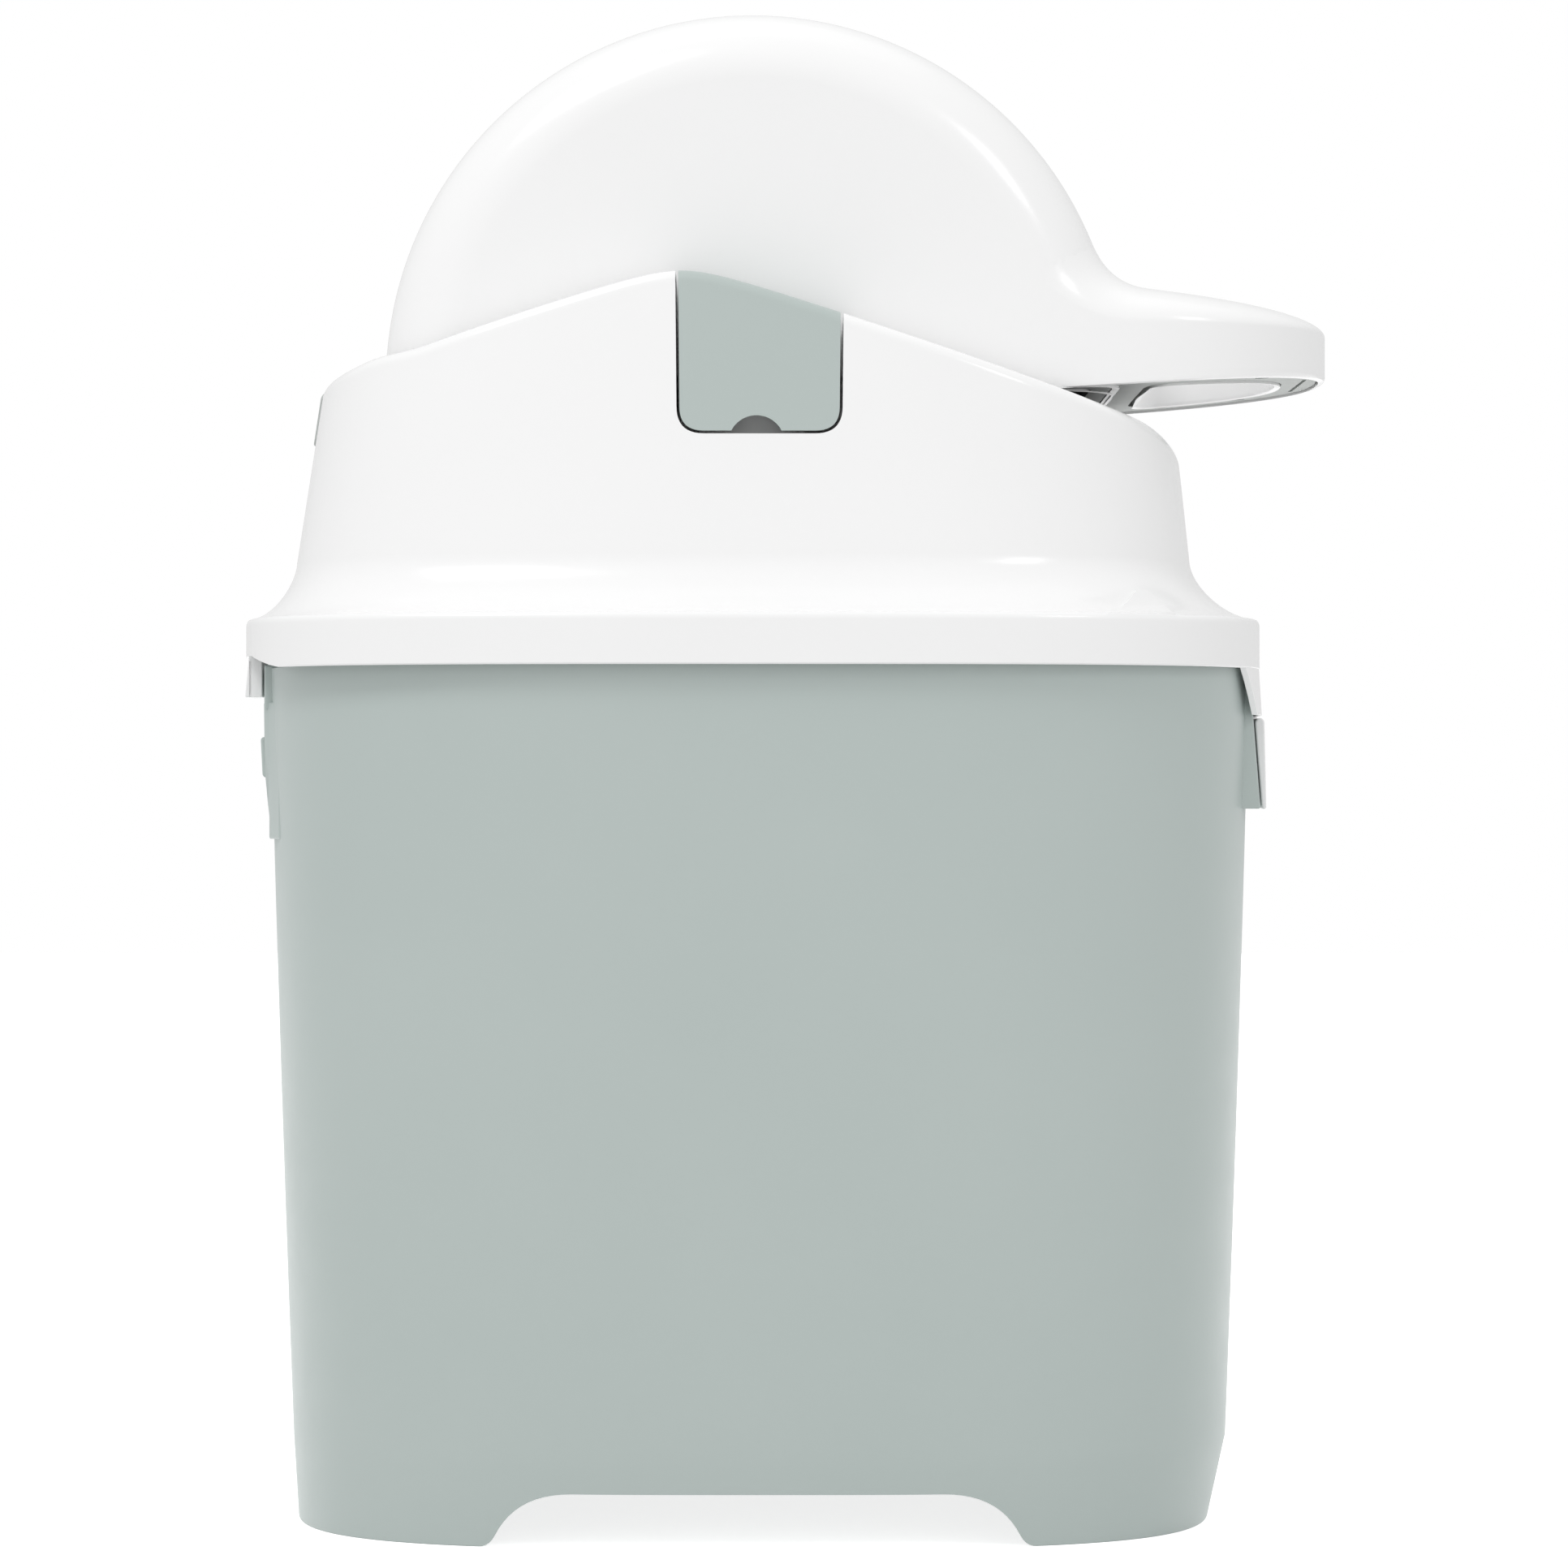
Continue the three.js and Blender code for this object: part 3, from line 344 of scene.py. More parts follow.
# %% Bucket sizes
BUCKET_TOP, FOOT_TOP, FLOOR_TOP, FLOOR_WALL = 304.7, 29.0, 24.0, 3.0
FOOT_SIZE, BOW_SIZE, TOP_SIZE = (321.6, 240.0), (329.6, 246.0), (346.2, 269.2)
BUCKET_FORWARD, COLLAR_HEIGHT, COLLAR_STEP = 2.3, 7.4, 1.1
FOOT_ROUND, RIM_ROUND, FLOOR_ROUND, SKIRT_ROUND, SKIRT_EDGE = 0.5, 1.0, 12.0, 2.0, 0.3
FOOT_STEPS, BEND_ZONE, INNER_TOP, INNER_BOTTOM, INNER_STEPS = 6, 3.0, 280.0, 40.0, 8


def bucket_half(height):
    """Half sizes and centre of the bucket's outside: a foot chamfer, then an eased taper."""
    height = np.asarray(height, float)
    low = np.clip(height / FOOT_TOP, 0, 1)
    share = np.clip((height - FOOT_TOP) / (BUCKET_TOP - FOOT_TOP), 0, 1)
    eased = share * (1 + (1 - share) / 4)
    levels = zip(FOOT_SIZE, BOW_SIZE, TOP_SIZE)
    halves = [(foot + (bow - foot) * low + (top - bow) * eased) / 2 for foot, bow, top in levels]
    return *halves, BUCKET_FORWARD * low


def bucket_rings(heights, insets):
    """Rings at heights, each moved in from the bucket's outside by an inset."""
    half_length, half_width, centre = (np.reshape(size, (-1, 1)) for size in bucket_half(heights))
    insets = np.reshape(insets, (-1, 1))
    reach = plan_reach(half_length - insets, half_width - insets)
    return ring_at(centre + reach * ROUND_X, reach * ROUND_Y, np.reshape(heights, (-1, 1)))


def shrunk(ring, shares):
    """Copies of a ring drawn in towards its own middle."""
    middle = ring.mean(axis=0)
    return middle + (ring - middle) * shares[:, None, None]


# %% Bucket walls
arc = quarter(5)
collar = BUCKET_TOP - COLLAR_HEIGHT
walls = np.linspace(FOOT_TOP + BEND_ZONE, collar, 20)
outer_z = [
    FOOT_ROUND * (1 - np.cos(arc)),
    np.linspace(FOOT_ROUND, FOOT_TOP - BEND_ZONE, FOOT_STEPS)[1:],
    [FOOT_TOP],
    walls,
    [collar + COLLAR_STEP / 2],
    BUCKET_TOP - RIM_ROUND * (1 - np.sin(arc)),
]
outer_in = [
    FOOT_ROUND * (1 - np.sin(arc)),
    np.zeros(FOOT_STEPS + len(walls)),
    [COLLAR_STEP],
    COLLAR_STEP + RIM_ROUND * (1 - np.cos(arc)),
]
outside = bucket_rings(np.concatenate(outer_z), np.concatenate(outer_in))
inner_step = WALL + COLLAR_STEP
inner_z = [
    BUCKET_TOP - RIM_ROUND * (1 - np.cos(arc)),
    np.linspace(INNER_TOP, INNER_BOTTOM, INNER_STEPS),
    FLOOR_TOP + FLOOR_ROUND * (1 - np.sin(arc)),
]
inner_in = [
    inner_step - RIM_ROUND * (1 - np.sin(arc)),
    np.full(INNER_STEPS, inner_step),
    inner_step + FLOOR_ROUND * (1 - np.cos(arc)),
]
inside = bucket_rings(np.concatenate(inner_z), np.concatenate(inner_in))
print("bucket rings:", len(outside), "outside,", len(inside), "inside")

# %% Bucket body
floor_rings = shrunk(inside[-1], np.linspace(0.9, 0.1, 6))
foot_wall, floor_under = WALL + FLOOR_WALL, FLOOR_TOP - FLOOR_WALL
under = bucket_rings(
    np.array([floor_under, floor_under - SKIRT_ROUND, SKIRT_ROUND, SKIRT_EDGE, 0.0]),
    foot_wall + np.array([SKIRT_ROUND, 0, 0, 0, -SKIRT_EDGE]),
)
under_rings = shrunk(under[0], np.linspace(0.1, 0.9, 6))
bucket_stack = np.concatenate([under_rings, under, outside, inside, floor_rings])
bucket = ring_object("bucket_body", bucket_stack, poles=True)
print("bucket faces:", len(bucket.data.polygons))

# %% [markdown]
# The long sides end in a low arch with S-shaped ends, which leaves four feet. The arch is an
# outline in side view, cut straight through both skirts.

# %% Foot arch
ARCH_HEIGHT, ARCH_WIDTH, ARCH_FORWARD, ARCH_RUN, ARCH_TOE = 18.5, 181.0, 2.0, 28.0, 4.0
UNDER_FLOOR = -5.0
low, high = ARCH_FORWARD - ARCH_WIDTH / 2, ARCH_FORWARD + ARCH_WIDTH / 2
toe_end, climb_end = (low + ARCH_TOE / 2, ARCH_TOE), (low + ARCH_RUN, ARCH_HEIGHT)
toe = bend((low - ARCH_TOE, 0), (low, 0), toe_end, 6)
climb = bend(toe_end, (low + ARCH_RUN / 3, ARCH_HEIGHT), climb_end)
left_side = np.vstack([[(low - ARCH_TOE, UNDER_FLOOR)], toe, climb[1:]])
right_side = left_side[::-1] * (-1, 1) + (2 * ARCH_FORWARD, 0)
arch = plate("arch_tool", np.vstack([left_side, right_side]), -PAST_ENDS, PAST_ENDS)
carve(bucket, arch)
print("arch width:", high - low)

# %% [markdown]
# At the front a boss stands out for the latch flap to lie on. At the rear are another boss, two
# cheeks, a small lug and the hinge's knuckle. They are parts of the same moulding, so each block
# is freed of what would stand inside the tub, and joined on.

# %% Bosses
BOSS_BOW, BOSS_EDGE, BOSS_POINTS = 1.0, 0.6, 25
FRONT_HALF, REAR_HALF = 60.0, 54.0
FRONT_LEVELS = [(177.5, 248.5), (174.9, 281.3), (173.75, 288.5), (171.9, 295.7)]
REAR_LEVELS = [(168.6, 238), (170, 250), (171.1, 262), (171.4, 285.6)]
FRONT_FLANK = [(169.4, 61.2), (167.8, 64), (166, 70), (150, 80)]
REAR_FLANK = [(168.2, 57), (166.4, 61), (164, 67), (150, 76)]
CAVITY_LEVELS, CAVITY_SKIN = np.linspace(200, 320, 7), 0.8


def boss_ring(front, height, half, flank):
    """Plan of a boss: a slightly bowed front, and flanks that flare softly into the wall."""
    share = np.linspace(-1, 1, BOSS_POINTS)
    face = np.stack([front - BOSS_BOW * share**2, half * share], axis=1)
    plan = np.vstack([face, flank, [(x, -y) for x, y in flank[::-1]]])
    return np.column_stack([plan, np.full(len(plan), height)])


def add_to_bucket(block, edge):
    """Rounds a block, takes off what would stand inside the bucket, and joins it on."""
    if edge:
        rounded(block, edge)
    cavity = bucket_rings(CAVITY_LEVELS, inner_step - CAVITY_SKIN)
    carve(block, ring_object("cavity_tool", cavity, poles=True))
    carve(bucket, block, "UNION")


def add_boss(name, levels, half, flank, way):
    """Adds a boss given by its fronts and heights, at the front (way 1) or the rear (-1)."""
    rings = np.stack([boss_ring(*level, half, flank) for level in levels]) * (way, way, 1)
    boss = ring_object(name, rings)
    outwards(boss, filled=True)
    add_to_bucket(boss, BOSS_EDGE)


add_boss("front_boss", FRONT_LEVELS, FRONT_HALF, FRONT_FLANK, 1)
add_boss("rear_boss", REAR_LEVELS, REAR_HALF, REAR_FLANK, -1)
print("bosses joined on:", len(bucket.data.polygons))

# %% Cheeks, lug and knuckle
CHEEK = box(-170.1, -161, 283, 298.6)
CHEEK_NEAR, CHEEK_FAR, CHEEK_EDGE = 51.2, 56.5, 0.8
LUG = [(-173.4, 259.4), (-165, 259.4), (-165, 273.7), (-174.1, 273.7)]
LUG_HALF, LUG_EDGE = 30.0, 1.2
HINGE_X, HINGE_Z = -174.6, 290.7
KNUCKLE_RADIUS, KNUCKLE_HALF, KNUCKLE_END, KNUCKLE_RISE = 3.0, 28.0, -167.0, 8.0
for side in (-1, 1):
    add_to_bucket(side_plate("cheek_tool", CHEEK, side, CHEEK_NEAR, CHEEK_FAR), CHEEK_EDGE)
add_to_bucket(plate("lug_tool", LUG, -LUG_HALF, LUG_HALF), LUG_EDGE)
knuckle = [
    *circle(HINGE_X, HINGE_Z, KNUCKLE_RADIUS, 0.5, 1.5, 17),
    (KNUCKLE_END, HINGE_Z - KNUCKLE_RADIUS),
    (KNUCKLE_END, HINGE_Z + KNUCKLE_RISE),
]
add_to_bucket(plate("knuckle_tool", knuckle, -KNUCKLE_HALF, KNUCKLE_HALF), 0)
smooth(bucket)
finished(bucket, "bucket", sage, "sage_gloss", "bucket")

# %% [markdown]
# ## The lid
# The lid is one closed band of surface: up the outside, over the top edge, down into the well
# where the drum turns, and back underneath. Each ring has its own inset and height, so the rim,
# the hollow cove, the leaning wall and the wavy top edge are a single formula.

# %% Lid sizes
RIM_BOTTOM, RIM_HEIGHT, RIM_SIZE = 297.0, 15.0, (357.6, 280.0)
RIM_EDGE, RIM_SHARE, RIM_CHAMFER, RIM_PLAIN = 2.4, 0.6, 0.5, 4.0
COVE_REACH, COVE_RISE, COVE_EXPONENT, WALL_SHIFT, WALL_LEAN = 18.4, 20.5, 1.6, -3.4, 0.135
TOP_SHIFT, REAR_START, REAR_RUN, REAR_LIFT = 1.0, -112.0, 20.0, 2.4
TOP_ROUND, PEAK_HEIGHT, PEAK_PLACE, PEAK_ROUND = 4.0, 435.5, -23.5, 8.4
REAR_SLOPE, FRONT_SLOPE, CORNER_START, CORNER_RUN, CORNER_DROP = 0.322, 0.336, 132.0, 17.0, 4.0
DRUM_RADIUS, DRUM_HALF, DRUM_EDGE = 127.7, 80.0, 24.6
WELL_GAP, WELL_SIDE_GAP, WELL_BOTTOM, WELL_EDGE = 2.4, 3.2, 352.1, 1.6
COVE_BOTTOM = RIM_BOTTOM + RIM_HEIGHT + RIM_EDGE
COVE_TOP, COVE_DEPTH = COVE_BOTTOM + COVE_RISE, RIM_EDGE + COVE_REACH


def edge_height(x):
    """Top edge: two slopes meeting in a round peak, a falling front end and a lifted rear."""
    rear = PEAK_HEIGHT + REAR_SLOPE * (x - PEAK_PLACE)
    front = PEAK_HEIGHT - FRONT_SLOPE * (x - PEAK_PLACE)
    ridge = (rear + front - np.hypot(rear - front, PEAK_ROUND)) / 2
    past = np.maximum(x - CORNER_START, 0)
    step = np.clip((REAR_START - x) / REAR_RUN, 0, 1)
    lift = REAR_LIFT * step**2 * (3 - 2 * step)
    return ridge - CORNER_DROP * (past / CORNER_RUN) ** 2 + lift


def wall_height(x):
    """Height of the leaning wall above the cove."""
    return edge_height(x) - TOP_ROUND - COVE_TOP


# %% Rings of the lid and the well
def lid_ring(depth, shift, height, lean_share=0.0):
    """One ring of the lid, moved in by a depth and by the wall's lean where it is that high.

    The lean depends on X and X on the lean, so the pair is worked out in a few passes.
    """
    lean = np.zeros(SECTION_POINTS)
    for _ in range(5):
        reach = plan_reach(RIM_SIZE[0] / 2 - depth - lean, RIM_SIZE[1] / 2 - depth - lean)
        x = shift + reach * ROUND_X
        lean = WALL_LEAN * wall_height(x) * lean_share
    return ring_at(x, reach * ROUND_Y, height)


def well_ring(inset, height):
    """One ring of the well, a rectangle with round corners, at the same even angles."""
    a, b = DRUM_RADIUS + WELL_GAP - inset, DRUM_HALF + WELL_SIDE_GAP - inset
    r = DRUM_EDGE + WELL_GAP - inset
    c, s = np.abs(ROUND_X), np.abs(ROUND_Y)
    p, q = a - r, b - r
    to_corner = c * p + s * q
    corner = to_corner + np.sqrt(np.maximum(to_corner**2 - (p * p + q * q - r * r), 0))
    with np.errstate(divide="ignore"):
        reach = np.where(a * s <= q * c, a / c, np.where(b * c <= p * s, b / s, corner))
    x = reach * ROUND_X
    return ring_at(x, reach * ROUND_Y, height)


def outer_rings(inset, drop=0.0):
    """The lid's outside from the rim's lower edge to the top, moved in by an inset."""
    rim_top = RIM_BOTTOM + RIM_HEIGHT
    rings = [lid_ring(inset + RIM_CHAMFER, 0, RIM_BOTTOM)]
    rings.append(lid_ring(inset, 0, RIM_BOTTOM + RIM_CHAMFER))
    for z in np.linspace(RIM_BOTTOM + RIM_PLAIN, rim_top - drop, 4):
        rings.append(lid_ring(inset, 0, z))
    for turn in quarter(5)[1:]:
        depth, up = RIM_EDGE * (1 - np.cos(turn)) * RIM_SHARE, RIM_EDGE * np.sin(turn)
        rings.append(lid_ring(inset + depth, 0, rim_top + up - drop))
    for turn in quarter(13)[1:]:
        out = 1 - np.sin(turn) ** (2 / COVE_EXPONENT)
        up = 1 - np.cos(turn) ** (2 / COVE_EXPONENT)
        depth = RIM_EDGE * (1 - (1 - RIM_SHARE) * out) + COVE_REACH * (1 - out)
        height = COVE_BOTTOM + COVE_RISE * up - drop
        rings.append(lid_ring(inset + depth, WALL_SHIFT * (1 - out), height))
    for share in np.linspace(0, 1, 10)[1:]:
        height_at = lambda x, t=share: COVE_TOP + wall_height(x) * t - drop
        shift = WALL_SHIFT + TOP_SHIFT * share
        rings.append(lid_ring(inset + COVE_DEPTH, shift, height_at, share))
    for turn in quarter(7)[1:]:
        depth = COVE_DEPTH + TOP_ROUND * (1 - np.cos(turn))
        height_at = lambda x, t=turn: edge_height(x) - TOP_ROUND * (1 - np.sin(t)) - drop
        rings.append(lid_ring(inset + depth, WALL_SHIFT + TOP_SHIFT, height_at, 1.0))
    return np.stack(rings)


# %% Lid body
outer, inner = outer_rings(0.0), outer_rings(WALL, WALL)[2:]


def across(first, second, shares, drop):
    """Rings between two rings in plan, lying on the top edge's own height."""
    rings = first + (second - first) * shares[:, None, None]
    rings[..., 2] = edge_height(rings[..., 0]) - drop
    return rings


def lip_ring(t):
    """A ring of the round edge between the lid's top and the well, at an angle of the edge."""
    drop = WELL_EDGE * (1 - np.cos(t))
    return well_ring(-WELL_EDGE * (1 - np.sin(t)), lambda x: edge_height(x) - drop)


def down_well(inset, drop, t):
    """A ring of the well's wall, at a share of the way down from a drop under the top edge."""
    return well_ring(inset, lambda x: (edge_height(x) - drop) * (1 - t) + WELL_BOTTOM * t)


well_lip = [lip_ring(t) for t in quarter(5)]
well_wall = [down_well(0, WELL_EDGE, t) for t in np.linspace(0, 1, 6)[1:]]
well_back = [down_well(-WALL, WALL, 1 - t) for t in np.linspace(0, 1, 6)]
top_face = across(outer[-1], well_lip[0], np.linspace(0, 1, 5)[1:-1], 0.0)
under_face = across(well_back[-1], inner[-1], np.linspace(0, 1, 4)[1:-1], WALL)
bottom = [lid_ring(WALL, 0, RIM_BOTTOM + RIM_CHAMFER), lid_ring(WALL - RIM_CHAMFER, 0, RIM_BOTTOM)]
lid_rings = [outer, top_face, well_lip, well_wall, well_back, under_face, inner[::-1], bottom]
lid = ring_object("lid_body", np.concatenate(lid_rings), closed=True)
print("lid faces:", len(lid.data.polygons))

# %% [markdown]
# Each cheek of the lid has a window for the keeper, open at the top. Its outline has straight
# sides that draw in a little and two round corners below.

# %% Keeper windows
KEEPER_REAR, KEEPER_FRONT, KEEPER_TAPER = -25.1, 30.4, 0.7
KEEPER_BOTTOM, KEEPER_CORNER, KEEPER_GAP, KEEPER_WALL = 376.3, 8.2, 1.0, 2.2
WELL_HALF = DRUM_HALF + WELL_SIDE_GAP
ABOVE, WINDOW_IN = PEAK_HEIGHT + 8, 8.0


def window_outline(grow):
    """Side view of the window, grown by a gap."""
    bottom, r = KEEPER_BOTTOM - grow, KEEPER_CORNER + grow
    rear, front = KEEPER_REAR - grow, KEEPER_FRONT + grow
    left, right = rear + KEEPER_TAPER, front - KEEPER_TAPER
    lower_left = bend((left, bottom + r), (left, bottom), (left + r, bottom))
    lower_right = bend((right - r, bottom), (right, bottom), (right, bottom + r))
    return np.vstack([[(rear, ABOVE)], lower_left, lower_right, [(front, ABOVE)]])


for side in (-1, 1):
    window = window_outline(KEEPER_GAP)
    carve(lid, side_plate("window_tool", window, side, WELL_HALF - WINDOW_IN, PAST_SIDE))
print("windows cut:", len(lid.data.polygons))

# %% [markdown]
# Behind, the rim's lower edge is cut a little higher, and two ears reach down from it to the
# hinge pins. Each ear has a fine upright groove in its outer end.

# %% Hinge ears
REAR_CUT = [(-95, 290), (-95, 297), (-70, 301.4), (70, 301.4), (95, 297), (95, 290)]
REAR_DEPTH = -140.0
EAR = [(-2.8, -3.3), (3.3, -3.3), (3.3, 13.5), (-1.2, 13.5)]
EAR_NEAR, EAR_FAR, EAR_EDGE = 28.35, 50.4, 0.5
GROOVE, GROOVE_DEPTH = box(HINGE_X - 1.3, HINGE_X - 0.6, 280, 300), 0.9
carve(lid, plate("rear_tool", REAR_CUT, -PAST_ENDS, REAR_DEPTH, "yz"))
for side in (-1, 1):
    outline = [(HINGE_X + x, HINGE_Z + z) for x, z in EAR]
    ear = side_plate("ear_tool", outline, side, EAR_NEAR, EAR_FAR)
    rounded(ear, EAR_EDGE)
    carve(ear, side_plate("groove_tool", GROOVE, side, EAR_FAR - GROOVE_DEPTH, EAR_FAR + 2))
    carve(lid, ear, "UNION")
print("ears joined on:", len(lid.data.polygons))

# %% [markdown]
# At the front an apron hangs from the rim over the boss. It is made of the lid's own rings, so it
# follows the rim's curve. A block behind its middle and a lug below carry the flap's pin.

# %% Front apron
APRON_BOTTOM, APRON_WALL, APRON_HALF, APRON_SPREAD = 281.0, 2.0, 66.0, 13.0
APRON_STEP, APRON_IN, APRON_EDGE = 0.8, 0.3, 0.6
APRON_TOP = RIM_BOTTOM + WALL
WIDE, FRONT_TOP = APRON_HALF + APRON_SPREAD, 310.0
FLAP_X, FLAP_Z, FLAP_RADIUS = 178.1, 278.6, 1.65
FLAP_LUG_RADIUS, FLAP_LUG_HALF, MOUNT_HALF = 1.5, 12.0, 15.0
apron_rings = [
    lid_ring(-APRON_STEP, 0, APRON_BOTTOM),
    lid_ring(APRON_IN, 0, APRON_TOP),
    lid_ring(APRON_IN + APRON_WALL, 0, APRON_TOP),
    lid_ring(APRON_WALL - APRON_STEP, 0, APRON_BOTTOM),
]
apron = ring_object("apron_tool", np.stack(apron_rings), closed=True)
FRONT = [(-WIDE, RIM_BOTTOM), (-APRON_HALF, APRON_BOTTOM), (APRON_HALF, APRON_BOTTOM)]
FRONT += [(WIDE, RIM_BOTTOM), (WIDE, FRONT_TOP), (-WIDE, FRONT_TOP)]
carve(apron, plate("front_tool", FRONT, PAST_ENDS / 2, PAST_ENDS, "yz"), "INTERSECT")
MOUNT = [(174.9, APRON_BOTTOM), (178.8, APRON_BOTTOM), (178.2, APRON_TOP), (173.5, APRON_TOP)]
carve(apron, plate("mount_tool", MOUNT, -MOUNT_HALF, MOUNT_HALF), "UNION")
rounded(apron, APRON_EDGE)
carve(lid, apron, "UNION")
flap_lug = [
    *circle(FLAP_X, FLAP_Z, FLAP_LUG_RADIUS, 1, 2, 13),
    (FLAP_X + FLAP_LUG_RADIUS, APRON_BOTTOM + 1),
    (FLAP_X - FLAP_LUG_RADIUS, APRON_BOTTOM + 1),
]
carve(lid, plate("flap_lug_tool", flap_lug, -FLAP_LUG_HALF, FLAP_LUG_HALF), "UNION")
print("apron joined on:", len(lid.data.polygons))

# %% [markdown]
# On each side of the flare, towards the front, a low triangle stands out. It is a block cut to
# a copy of the lid's outside moved out, so it follows the hollow and fades towards the rim.

# %% Raised triangles
BLISTER = [(112, 310), (125.6, 317.5), (131, 323.4), (134.7, 323.2), (147, 310)]
BLISTER_HEIGHT, BLISTER_FOOT, BLISTER_FADE, BLISTER_SUNK = 2.2, 313.6, 5.0, 1.0
BLISTER_NEAR, BLISTER_ROUND, BLISTER_EDGE = 100.0, 1.5, 0.35
COVE_RINGS = slice(2, 19)
for side in (-1, 1):
    near, far = (outer_rings(-out)[COVE_RINGS] for out in (0.0, BLISTER_HEIGHT))
    fade = np.clip((near[..., 2:] - BLISTER_FOOT) / BLISTER_FADE, -0.2, 1)
    skin = ring_object("skin_tool", near + (far - near) * fade, poles=True)
    blister = side_plate("blister_tool", BLISTER, side, BLISTER_NEAR, PAST_SIDE)
    rounded(blister, BLISTER_ROUND)
    carve(blister, skin, "INTERSECT")
    core = ring_object("core_tool", outer_rings(BLISTER_SUNK)[COVE_RINGS], poles=True)
    carve(blister, core)
    rounded(blister, BLISTER_EDGE)
    carve(lid, blister, "UNION")
smooth(lid)
finished(lid, "lid", white, "white_gloss", "lid_shell")

# %% [markdown]
# A thin pale strip lies on the lid's rear wall, where the flipped handle could knock. It is a
# window cut out of the space between two copies of the lid's outside, so it follows the wall.

# %% Rear bumper
BUMPER, BUMPER_REAR, BUMPER_FRONT = box(-30.0, 30.0, 377.0, 395.0), -180.0, -130.0
BUMPER_SKIN, BUMPER_GAP, BUMPER_CORNER = 0.8, 0.03, 2.0
WALL_RINGS = slice(20, None)
bumper = plate("rear_bumper_strip", BUMPER, BUMPER_REAR, BUMPER_FRONT, "yz")
rounded(bumper, BUMPER_CORNER)
for out, way in ((BUMPER_SKIN, "INTERSECT"), (BUMPER_GAP, "DIFFERENCE")):
    carve(bumper, ring_object("skin_tool", outer_rings(-out)[WALL_RINGS], poles=True), way)
smooth(bumper)
finished(bumper, "lid", pale_rubber, "soft_pale", "rear_bumper")

# %% [markdown]
# Behind each window the lid carries a small pocket: a floor, two side walls, and two upright
# leaves with a half-round seat for the drum's bush. All are flat plates.

# %% Keeper pockets
BUSH_RADIUS, SEAT_GAP, OUTER_SEAT, OUTER_SEAT_HALF = 9.5, 0.3, 97.0, 18.0
POCKET_IN, POCKET_GAP, POCKET_LAP, POCKET_SHORT = 0.4, 0.02, 1.0, 0.6
BEVEL_DOWN, BEVEL_LOW, BEVEL_HIGH = 2.2, 1.4, 3.6
rear_wall, front_wall = KEEPER_REAR - KEEPER_GAP, KEEPER_FRONT + KEEPER_GAP
pocket_floor = KEEPER_BOTTOM - KEEPER_GAP
pocket_under, pocket_near = pocket_floor - WALL, WELL_HALF + POCKET_IN


def wall_reach(z):
    """Half width of the lid's outside at a height on the leaning wall."""
    return RIM_SIZE[1] / 2 - RIM_EDGE - COVE_REACH - WALL_LEAN * (z - COVE_TOP)


def seat_outline(low, high, bottom):
    """A leaf with a half-round seat in its upper edge, at the drum's axis."""
    seat = circle(0, DRUM_AXIS, BUSH_RADIUS + SEAT_GAP, 1, 2, 25)
    return np.vstack([[(low, bottom), (low, DRUM_AXIS)], seat, [(high, DRUM_AXIS), (high, bottom)]])


def pocket_side(side, low, high):
    """A side wall between two places along X, with its upper outer corner cut off."""
    top = min(edge_height(np.array(low)), edge_height(np.array(high))) - POCKET_SHORT
    outline = [
        (pocket_near, pocket_under),
        (wall_reach(pocket_floor) - POCKET_LAP, pocket_under),
        (wall_reach(top) - BEVEL_LOW, top - BEVEL_DOWN),
        (wall_reach(top) - BEVEL_HIGH, top),
        (pocket_near, top),
    ]
    ends = low + POCKET_GAP, high + POCKET_GAP
    return plate("pocket_side", np.array(outline) * (side, 1), *ends, "yz")


rear_end, front_end = rear_wall - POCKET_LAP, front_wall + POCKET_LAP
BASE = box(rear_end, front_end, pocket_under, pocket_floor - POCKET_GAP)
SEATS = [(WELL_HALF, rear_end, front_end), (OUTER_SEAT, -OUTER_SEAT_HALF, OUTER_SEAT_HALF)]
for side, hand in ((1, "left"), (-1, "right")):
    pieces = [
        pocket_side(side, rear_wall - WALL, rear_wall),
        pocket_side(side, front_wall, front_wall + WALL),
        side_plate("pocket_base", BASE, side, pocket_near, wall_reach(pocket_floor) - POCKET_LAP),
    ]
    for near, low, high in SEATS:
        seat = seat_outline(low, high, pocket_under)
        pieces.append(side_plate("seat", seat, side, near, near + WALL))
    pocket = grouped(*pieces)
    pocket.name = f"keeper_pocket_{hand}"
    finished(pocket, "lid", white, "white_gloss")

# %% [markdown]
# ## The keepers
# A keeper is a clip in the bucket's colour that slides down over the drum's bush and closes the
# window. Its outer skin lies flush with the lid's leaning wall, turns over the top edge and runs
# down beside the drum. It is one sheet on a grid, thickened inwards and cut to the window.

# %% Keeper sheet
KEEPER_START, KEEPER_END = KEEPER_BOTTOM - 6, DRUM_AXIS + 0.4


def grid_faces(rows, columns):
    """Faces of an open sheet whose points lie in rows and columns."""
    base = np.arange(rows - 1)[:, None] * columns + np.arange(columns - 1)
    quads = [base, base + 1, base + columns + 1, base + columns]
    return np.stack(quads, axis=-1).reshape(-1, 4).tolist()


